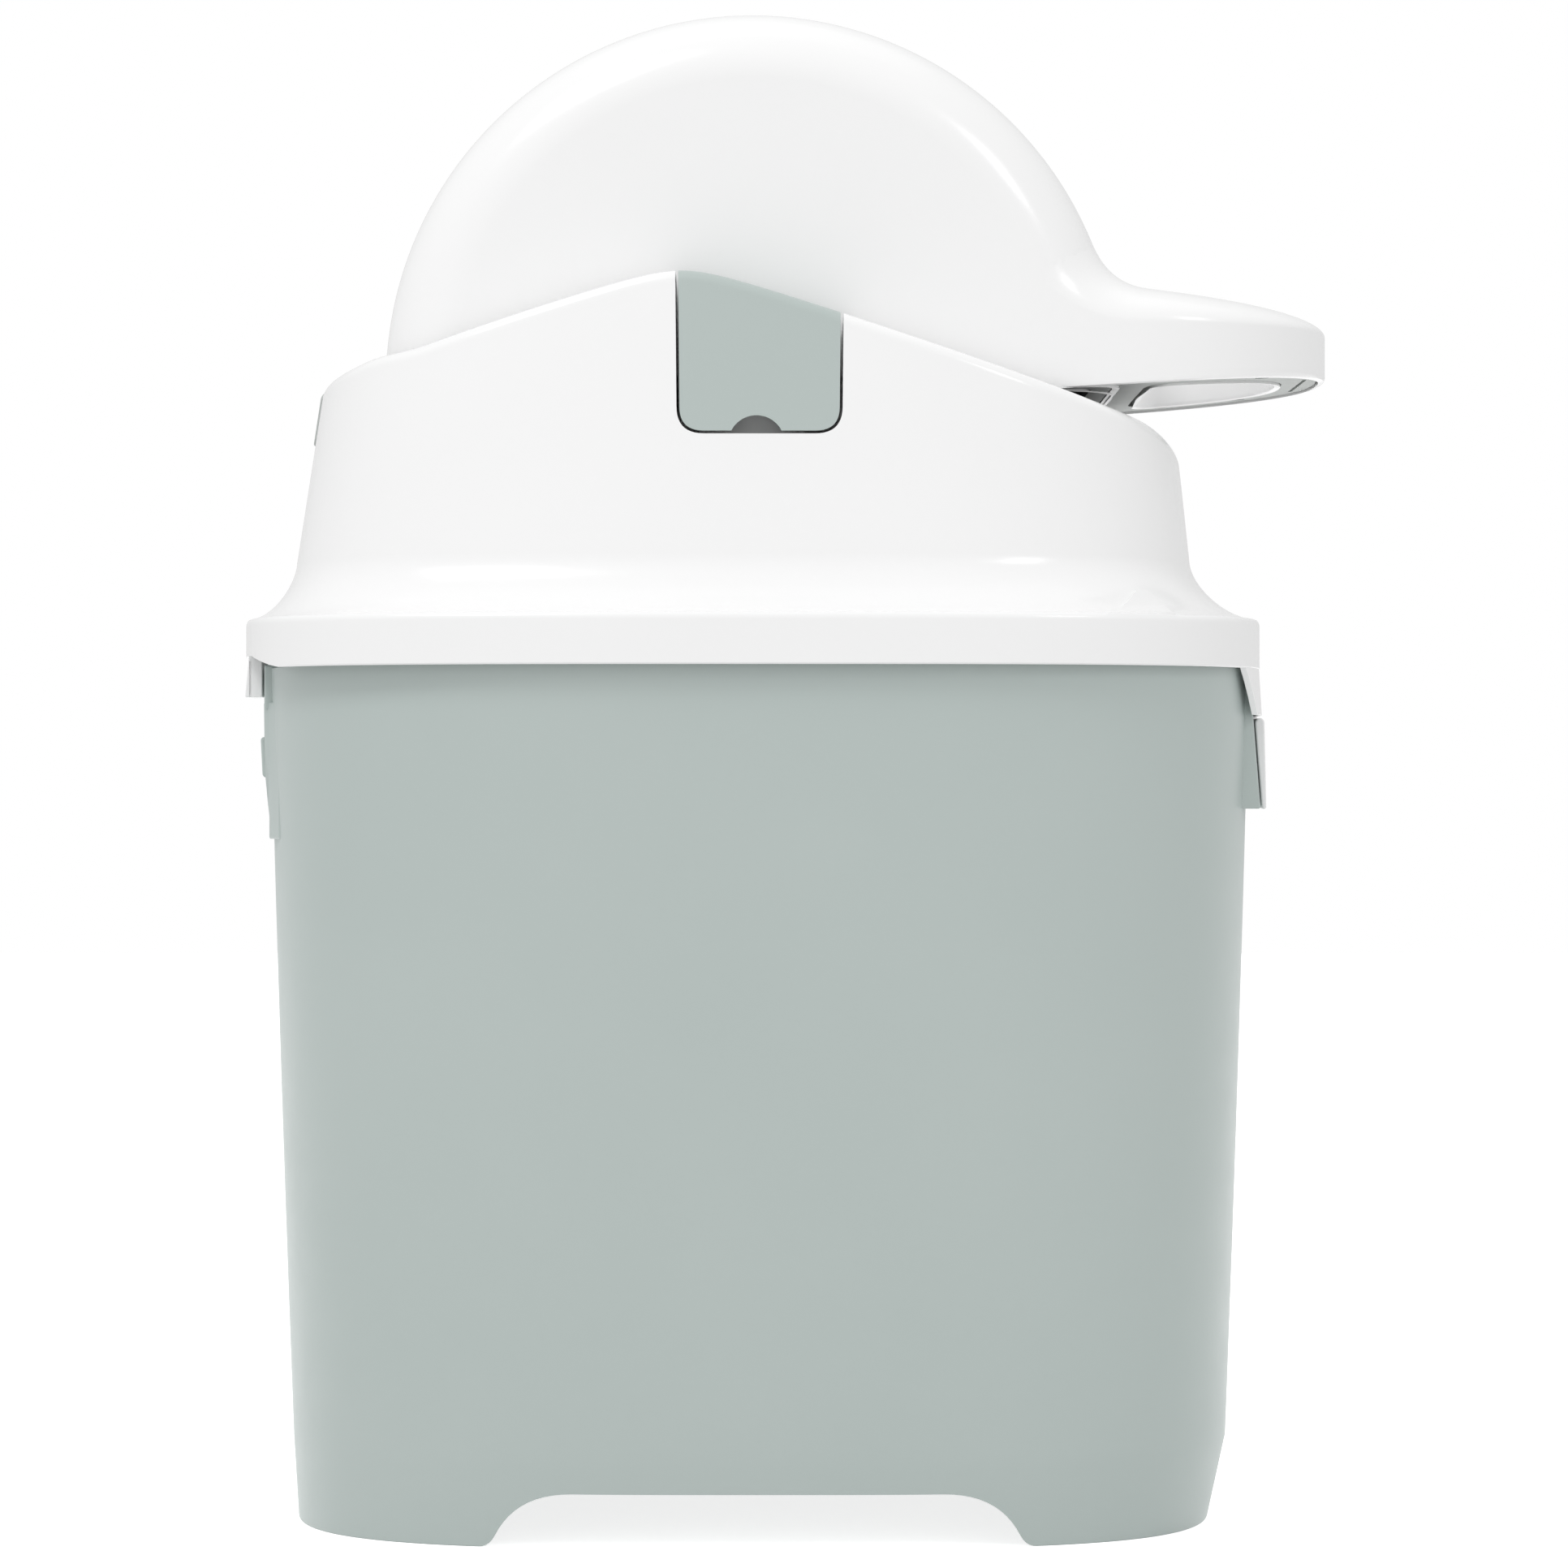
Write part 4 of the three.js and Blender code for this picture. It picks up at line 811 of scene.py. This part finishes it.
def keeper_path(x):
    """Path from below the window up the lid's wall, over its round edge and down the well.

    For each X the half width is b (1 - |x / a|^n)^(1/n) at each depth, as in the lid's rings.
    """
    top = edge_height(x)
    rows, n = [], EXPONENT
    for share in np.linspace(-0.05, 1, 16)[1:]:
        z = KEEPER_START + (top - TOP_ROUND - KEEPER_START) * share
        rows.append((COVE_DEPTH + WALL_LEAN * (z - COVE_TOP), z))
    for turn in quarter(7)[1:]:
        depth = COVE_DEPTH + WALL_LEAN * wall_height(x) + TOP_ROUND * (1 - np.cos(turn))
        rows.append((depth, top - TOP_ROUND * (1 - np.sin(turn))))
    points = []
    for depth, z in rows:
        a, b = RIM_SIZE[0] / 2 - depth, RIM_SIZE[1] / 2 - depth
        y = b * (1 - np.abs((x - WALL_SHIFT) / a) ** n) ** (1 / n)
        points.append(ring_at(x, y, z))
    last = points[-1]
    for share in np.linspace(0, 1, 6)[1:-1]:
        ring = last.copy()
        ring[:, 1] += (WELL_HALF + WELL_EDGE - last[:, 1]) * share
        points.append(ring)
    for turn in quarter(5):
        y = WELL_HALF + WELL_EDGE * (1 - np.sin(turn))
        points.append(ring_at(x, y, top - WELL_EDGE * (1 - np.cos(turn))))
    for share in np.linspace(0, 1, 5)[1:]:
        z = (top - WELL_EDGE) * (1 - share) + KEEPER_END * share
        points.append(ring_at(x, WELL_HALF, z))
    return np.stack(points)


# %% Keeper bodies
NOTCH_PLACE, NOTCH_RADIUS, NOTCH_RISE = 1.6, 9.5, 5.2
KEEPER_OVER, KEEPER_COLUMNS, KEEPER_IN, KEEPER_EDGE, LEAF_RISE = 2.0, 40, 4.0, 0.45, 22.0
notch_middle = KEEPER_BOTTOM + NOTCH_RISE - NOTCH_RADIUS
NOTCH = circle(NOTCH_PLACE, notch_middle, NOTCH_RADIUS, 0, 2, 65)[:-1]
LEAF = seat_outline(-OUTER_SEAT_HALF, OUTER_SEAT_HALF, DRUM_AXIS + LEAF_RISE)
LEAF[2:-2, 1] = 2 * DRUM_AXIS - LEAF[2:-2, 1]
LEAF[:, 1] = np.maximum(LEAF[:, 1], KEEPER_END)
columns = np.linspace(KEEPER_REAR - KEEPER_OVER, KEEPER_FRONT + KEEPER_OVER, KEEPER_COLUMNS)
for side, hand in ((1, "left"), (-1, "right")):
    grid = keeper_path(columns) * (1, side, 1)
    keeper = make_object(f"keeper_panel_{hand}", grid, grid_faces(*grid.shape[:2]))
    outwards(keeper, sheet=True)
    thickened(keeper, KEEPER_WALL)
    span = WELL_HALF - KEEPER_IN, PAST_SIDE
    carve(keeper, side_plate("window_tool", window_outline(0.0), side, *span), "INTERSECT", True)
    carve(keeper, side_plate("notch_tool", NOTCH, side, *span), folded=True)
    rounded(keeper, KEEPER_EDGE, angle=50)
    grouped(keeper, side_plate("leaf", LEAF, side, OUTER_SEAT, OUTER_SEAT + WALL))
    smooth(keeper)
    finished(keeper, f"keeper_{hand}", sage, "sage_gloss", f"keeper_{hand}")

# %% [markdown]
# ## The latch flap
# A long thin flap hangs in front of the boss from a barrel on the apron. In side view it is half
# a round above and a wedge below, so one outline carried across the bin makes it.

# %% Latch flap
FLAP_FOOT, FLAP_HALF, FLAP_EDGE, SLOT_HALF = [(178.9, 248.3), (180.4, 248.3)], 40.0, 0.6, 12.4
FLAP_SLOT = box(166, 189, 276.55, 282)
barrel = circle(FLAP_X, FLAP_Z, FLAP_RADIUS, 0, 1, 13)
flap = plate("flap_body", np.vstack([barrel, FLAP_FOOT]), -FLAP_HALF, FLAP_HALF)
carve(flap, plate("slot_tool", FLAP_SLOT, -SLOT_HALF, SLOT_HALF))
rounded(flap, FLAP_EDGE, angle=50)
smooth(flap)
finished(flap, "latch_flap", white, "white_gloss", "latch_flap")

# %% [markdown]
# ## The drum
# The drum is half a wheel with a big round edge. Its skin is a grid of two angles: one runs
# round the edge from flat side to flat side, the other round the axis from one end of the tilted
# opening to the other.

# %% Drum skin
OPENING_DROP, OPENING_TILT = 11.0, math.radians(3.9)
DRUM_FLAT, DRUM_SIDE = DRUM_RADIUS - DRUM_EDGE, DRUM_HALF - DRUM_EDGE
ARC_STEPS, ROUND_STEPS, TREAD_STEPS = 160, 14, 18


def opening_height(x):
    """Height of the drum's opening plane above the floor."""
    return DRUM_AXIS - OPENING_DROP + x * math.tan(OPENING_TILT)


def wheel_profile():
    """Radius and Y from flat side to flat side: a quarter round, the tread, a quarter round."""
    t = quarter(ROUND_STEPS)
    reach = DRUM_FLAT + DRUM_EDGE * np.sin(t)
    side = DRUM_SIDE + DRUM_EDGE * np.cos(t)
    tread = np.linspace(-side[-1], side[-1], TREAD_STEPS)[1:-1]
    radius = np.concatenate([reach, np.full(len(tread), DRUM_RADIUS), reach[::-1]])
    return radius, np.concatenate([-side, tread, side[::-1]])


radius, across_y = wheel_profile()
dip = np.arcsin(-OPENING_DROP * math.cos(OPENING_TILT) / radius)
start, end = OPENING_TILT + dip, np.pi + OPENING_TILT - dip
share = np.linspace(0, 1, ARC_STEPS)[:, None]
angle = start + (end - start) * share
skin = ring_at(radius * np.cos(angle), across_y, DRUM_AXIS + radius * np.sin(angle))
print("drum skin:", skin.shape)

# %% Drum shell
rows = np.arange(skin[..., 0].size).reshape(skin.shape[:2])
faces = grid_faces(*rows.shape) + [rows[:, 0].tolist(), rows[::-1, -1].tolist()]
drum = make_object("drum_body", skin, faces)
outwards(drum, sheet=True)
thickened(drum, WALL)
print("drum faces:", len(drum.data.polygons))

# %% [markdown]
# The loop handle grows out of the drum. Its upper surface is a blend: at each place in plan the
# height is found where a soft minimum of two distances, to the wheel and to the handle's crown,
# is zero. The soft minimum rounds the inner corner between them, as the mould does.

# %% Handle plan
HANDLE_TIP, HANDLE_START, HANDLE_ROOT, HANDLE_EXPONENT = 204.0, 120.0, 97.0, 2.5
HOLE_TIP, HOLE_REAR, HOLE_HALF, HOLE_CORNER = 186.0, 140.0, 56.0, 10.0
MIDDLE, HANDLE_IN, HANDLE_COLUMNS, SEARCH_LIMIT, SEARCH_STEPS = 163.0, 0.03, 400, 160.0, 40


def plan_norm(x, y, tip, half):
    """Superellipse measure of a place in plan: 1 on the outline; straight sides behind."""
    along, n = np.maximum(x - HANDLE_START, 0) / (tip - HANDLE_START), HANDLE_EXPONENT
    return (along**n + (np.abs(y) / half) ** n) ** (1 / n)


def soft_max(a, b, size):
    """Larger of two values, rounded where they are closer than a size."""
    near = np.maximum(size - np.abs(a - b), 0)
    return np.maximum(a, b) + near**2 / (4 * size)


def hole_field(x, y):
    """Negative inside the hole: the outline's measure and the flat rear edge, softly joined."""
    rounding = (plan_norm(x, y, HOLE_TIP, HOLE_HALF) - 1) * HOLE_HALF
    return soft_max(rounding, HOLE_REAR - x, HOLE_CORNER)


def outline_field(x, y):
    """Negative inside the handle's outer plan, down to its root inside the drum."""
    rounding = (plan_norm(x, y, HANDLE_TIP, DRUM_HALF - HANDLE_IN) - 1) * DRUM_HALF
    return np.maximum(rounding, HANDLE_ROOT - x)


def halved(low, high, steps, inside):
    """Ends of the span in which a test turns from true to false, found by halving."""
    for _ in range(steps):
        half = (low + high) / 2
        true_there = inside(half)
        low, high = np.where(true_there, half, low), np.where(true_there, high, half)
    return low, high


turn = np.linspace(0, 2 * np.pi, HANDLE_COLUMNS, endpoint=False)


def plan_place(distance):
    """X and Y at a distance from the hole's middle, for all angles."""
    return MIDDLE + distance * np.cos(turn), distance * np.sin(turn)


def reach_of(field):
    """Distance from the hole's middle to where a field is zero, for all angles."""
    none, limit = np.zeros_like(turn), np.full_like(turn, SEARCH_LIMIT)
    return halved(none, limit, SEARCH_STEPS, lambda half: field(*plan_place(half)) < 0)[0]


edge, outer_reach = reach_of(hole_field), reach_of(outline_field)
to_drum = MIDDLE + outer_reach * np.cos(turn) < HANDLE_ROOT + 0.01
print(f"handle's reach: {outer_reach.max():.1f} mm")

# %% Handle surface
HANDLE_SIDE, CROWN_HEIGHT, CROWN_PLACE, CROWN_SLOPE, CROWN_EXPONENT = 18.7, 34.2, 134.0, 0.112, 6
BLEND, SUNK_ZONE, SUNK_DEPTH, HEIGHT_STEPS = 14.0, 0.06, 0.5, 34


def wheel_radius(y):
    """Radius of the wheel at a distance from its middle plane."""
    past = np.clip(np.abs(y) - DRUM_SIDE, 0, DRUM_EDGE)
    return DRUM_FLAT + np.sqrt(DRUM_EDGE**2 - past**2)


def wheel_distance(x, y, up):
    """Signed distance to the wheel: a rounded rectangle in radius and Y."""
    out = np.hypot(x, up) - DRUM_FLAT
    side = np.abs(y) - DRUM_SIDE
    corner = np.hypot(np.maximum(out, 0), np.maximum(side, 0))
    return corner + np.minimum(np.maximum(out, side), 0) - DRUM_EDGE


def crown(x, y):
    """Height of the handle's top above the drum's axis: a slope with edges rounded off."""
    measure = np.minimum(plan_norm(x, y, HANDLE_TIP, DRUM_HALF), 1)
    top = CROWN_HEIGHT - CROWN_SLOPE * (x - CROWN_PLACE)
    return HANDLE_SIDE + (top - HANDLE_SIDE) * np.sqrt(1 - measure**CROWN_EXPONENT)


def top_height(distance):
    """Height where the softly joined distances to wheel and crown are zero, for all angles.

    Where the blend ends on the wheel, it sinks into it a little.
    """
    x, y = plan_place(distance)

    def under(half):
        return -soft_max(-wheel_distance(x, y, half), -(half - crown(x, y)), BLEND) < 0

    low, high = np.full_like(x, HANDLE_SIDE - 1), np.full_like(x, DRUM_RADIUS)
    high = halved(low, high, HEIGHT_STEPS, under)[1]
    wheel = np.sqrt(np.maximum(wheel_radius(y) ** 2 - x**2, 0))
    inside = (wheel_radius(y) > x) & (np.abs(y) < DRUM_HALF)
    return high - np.clip(1 - (high - wheel) / SUNK_ZONE, 0, 1) * SUNK_DEPTH * inside


print(f"handle's top: {top_height(edge).max():.1f} mm over the axis")

# %% [markdown]
# The handle is closed like the lid, as rings round its hole: up the hole's wall, over the round
# edge and the top, down the outer wall, and back under the foot with a step for the inset cover.

# %% Handle rings
HOLE_ROUND, FOOT_EDGE, COVER_DEPTH, HIDDEN_IN, LEAST_COS = 4.0, 1.6, 3.4, 1.2, 0.05


def handle_ring(distance, height):
    """One ring of the handle, from its distances and its heights above the drum's axis."""
    return ring_at(*plan_place(distance), DRUM_AXIS + height)


def foot(distance):
    """Height of the opening plane, from the drum's axis, under each point of a ring."""
    return opening_height(plan_place(distance)[0]) - DRUM_AXIS


def side_place(up):
    """Outer wall at a height: the outline, or just inside the wheel where the drum covers it."""
    y = outer_reach * np.sin(turn)
    wheel = np.sqrt(np.maximum((wheel_radius(y) - HIDDEN_IN) ** 2 - up**2, 0))
    hidden = (MIDDLE - wheel) / np.maximum(-np.cos(turn), LEAST_COS)
    return np.where(to_drum, np.minimum(outer_reach, np.abs(hidden)), outer_reach)


rings = [
    handle_ring(edge + FOOT_EDGE, foot(edge)),
    handle_ring(edge + FOOT_EDGE / 4, foot(edge) + FOOT_EDGE / 4),
    handle_ring(edge, foot(edge) + FOOT_EDGE),
]
low, top = foot(edge) + FOOT_EDGE, top_height(edge) - HOLE_ROUND
rings += [handle_ring(edge, low + (top - low) * share) for share in (1 / 3, 2 / 3)]
for t in quarter(7):
    place = edge + HOLE_ROUND * (1 - np.cos(t))
    rings.append(handle_ring(place, top_height(place) - HOLE_ROUND * (1 - np.sin(t))))
for share in (1 - np.cos(np.linspace(0, np.pi, 52)[1:-1])) / 2:
    place = edge + HOLE_ROUND + (outer_reach - edge - HOLE_ROUND) * share
    rings.append(handle_ring(place, top_height(place)))
last_top = np.where(to_drum, top_height(outer_reach), HANDLE_SIDE)
for share in np.linspace(0, 1, 9):
    up = last_top + (foot(outer_reach) + FOOT_EDGE - last_top) * share
    rings.append(handle_ring(side_place(up), up))
outer_foot = side_place(foot(outer_reach))
lip = np.where(to_drum, outer_foot - FOOT_EDGE, outer_foot - WALL)
rings += [
    handle_ring(outer_foot - FOOT_EDGE / 4, foot(outer_foot) + FOOT_EDGE / 4),
    handle_ring(outer_foot - FOOT_EDGE, foot(outer_foot)),
    handle_ring(lip, foot(lip)),
    handle_ring(lip, foot(lip) + COVER_DEPTH),
    handle_ring(edge + WALL, foot(edge + WALL) + COVER_DEPTH),
    handle_ring(edge + WALL, foot(edge + WALL)),
]
print("handle rings:", len(rings))

# %% Drum with handle
grouped(drum, ring_object("handle_body", np.stack(rings), closed=True))
smooth(drum, 38)
finished(drum, "drum", white, "white_gloss", "drum_shell")

# %% [markdown]
# ## Pieces whose shape is already right
# Pins, bushes, rings and covers keep the imported model's shape, and get a true finish, except that
# the handle's cover gets a grey darker than the shell, which paints in the shade under the handle.


# %% Metal
def turned_steel(name, color):
    """Turned or rolled steel: fine marks round the pin and a little stain."""
    material = bpy.data.materials.new(name)
    tree = empty_tree(material)
    place = add_node(tree, "TexCoord").outputs["Object"]
    marks = noise(tree, place, 0.6, 4.0, 0.6)
    gloss = add_node(tree, "MapRange", {"Value": marks}, To_Min=0.22, To_Max=0.42)
    bump = add_node(tree, "Bump", {"Height": marks}, Strength=0.1, Distance=0.05 * MM)
    links = {"Roughness": gloss.outputs["Result"], "Normal": bump.outputs["Normal"]}
    look = {"Metallic": 1.0, "Base_Color": linear(color)}
    shader = add_node(tree, "BsdfPrincipled", links, **look)
    add_node(tree, "OutputMaterial", {"Surface": shader.outputs["BSDF"]})
    return material


steel = turned_steel("steel_zinc_plated", "C6C8C9")
screw_steel = turned_steel("steel_screw_bright", "BFC2C4")
print("metals made")

# %% Materials of the carried pieces
FINISHES = [
    (liner_grey, ("bag_ring", "drum_liner")),
    # The cover's darker grey is painted shade under the handle.
    (cover_grey_painted_shade, ("handle_cover",)),
    (seal_rubber, ("lid_gasket", "drum_seal")),
    (acetal, ("bearing_bush", "trunnion_left", "trunnion_right")),
    (steel, ("hinge_pin", "latch_pin")),
    (screw_steel, ("cover_screw", "trunnion_screw")),
]
dressed = 0
for name, node in frame["nodes"].items():
    for material, starts in FINISHES:
        if name.startswith(starts):
            for material_slot in node.material_slots:
                material_slot.material = material
            dressed += 1
print("carried nodes with a finish:", dressed)

# %% [markdown]
# ## Stage
# A plain pale floor, a white surround, and three soft lamps. White belongs to the surround and
# not to more light on the bin: rays that go straight to the eye, or by gloss, see white.


# %% Floor
def either_ray(tree, first, second):
    """1 for light rays of either of two kinds, and 0 for all others."""
    path = add_node(tree, "LightPath")
    links = {0: path.outputs[first], 1: path.outputs[second]}
    return add_node(tree, "Math", links, operation="MAXIMUM").outputs[0]


FLOOR_HALF, FLOOR_GREY = 6000.0, (0.8, 0.8, 0.8, 1)
corners = box(-FLOOR_HALF, FLOOR_HALF, -FLOOR_HALF, FLOOR_HALF)
floor = make_object("floor", [(x, y, 0) for x, y in corners], [(0, 1, 2, 3)])
paper = bpy.data.materials.new("paper_white_studio")
tree = empty_tree(paper)
seen = either_ray(tree, "Is Camera Ray", "Is Glossy Ray")
matt = add_node(tree, "BsdfDiffuse", Color=FLOOR_GREY)
lift = add_node(tree, "Emission", {"Strength": seen}, Color=FLOOR_GREY)
both = add_node(tree, "AddShader", {0: matt.outputs[0], 1: lift.outputs[0]})
add_node(tree, "OutputMaterial", {"Surface": both.outputs[0]})
floor.data.materials.append(paper)
print(f"floor: {2 * FLOOR_HALF * MM:.0f} m wide")

# %% Surround
SKY_ON_BIN, SKY_SEEN = 0.735, 1.0
world = bpy.data.worlds.new("studio")
bpy.context.scene.world = world
tree = empty_tree(world)
direct = either_ray(tree, "Is Camera Ray", "Is Transmission Ray")
strength = add_node(tree, "MapRange", {"Value": direct}, To_Min=SKY_ON_BIN, To_Max=SKY_SEEN)
links = {"Strength": strength.outputs["Result"]}
sky = add_node(tree, "Background", links, Color=(1, 1, 1, 1))
add_node(tree, "OutputWorld", {"Surface": sky.outputs["Background"]})
print("surround's light:", SKY_ON_BIN)


# %% Lamps
def soft_lamp(name, place, aim, width, height, power):
    """A soft rectangle of light at a place, in metres, turned to face a point."""
    lamp = bpy.data.lights.new(name, "AREA")
    lamp.shape, lamp.size, lamp.size_y, lamp.energy = "RECTANGLE", width, height, power
    holder = linked(name, lamp)
    away = np.asarray(place) - np.asarray(aim)
    tilt, turned = math.atan2(math.hypot(*away[:2]), away[2]), math.atan2(away[1], away[0])
    holder.location, holder.rotation_euler = place, (tilt, 0, turned + math.pi / 2)
    print(f"{name}: {power} W")


soft_lamp("lamp_left", (-1.35, -1.7, 3.1), (0, 0, 0.35), 1.5, 0.9, 32)
soft_lamp("lamp_right", (1.75, -2.35, 2.2), (0, 0, 0.4), 0.6, 0.7, 9)
soft_lamp("lamp_top", (0.0, 0.4, 2.6), (0, 0, 0.3), 2.2, 1.6, 2.5)

# %% [markdown]
# The camera stands where the photograph was taken from, square to the bin's side. Its lens is
# the picture plane's distance over the picture's width, both in pixels.

# %% Camera
CAMERA_PLACE = np.array([10.9, -1860, 257.1])
SENSOR, PLANE_PIXELS, WIDTH_PIXELS = 36.0, 6383, 1932
camera = bpy.data.cameras.new("camera")
camera.sensor_width, camera.lens = SENSOR, SENSOR * PLANE_PIXELS / WIDTH_PIXELS
camera.clip_end = 50.0
viewer = linked("camera", camera)
viewer.location = (CAMERA_PLACE + (SHIFT, 0, 0)) * MM
viewer.rotation_euler = (math.pi / 2, 0, 0)
bpy.context.scene.camera = viewer
bpy.context.scene.view_settings.view_transform = "Standard"
print(f"lens: {camera.lens:.1f} mm")
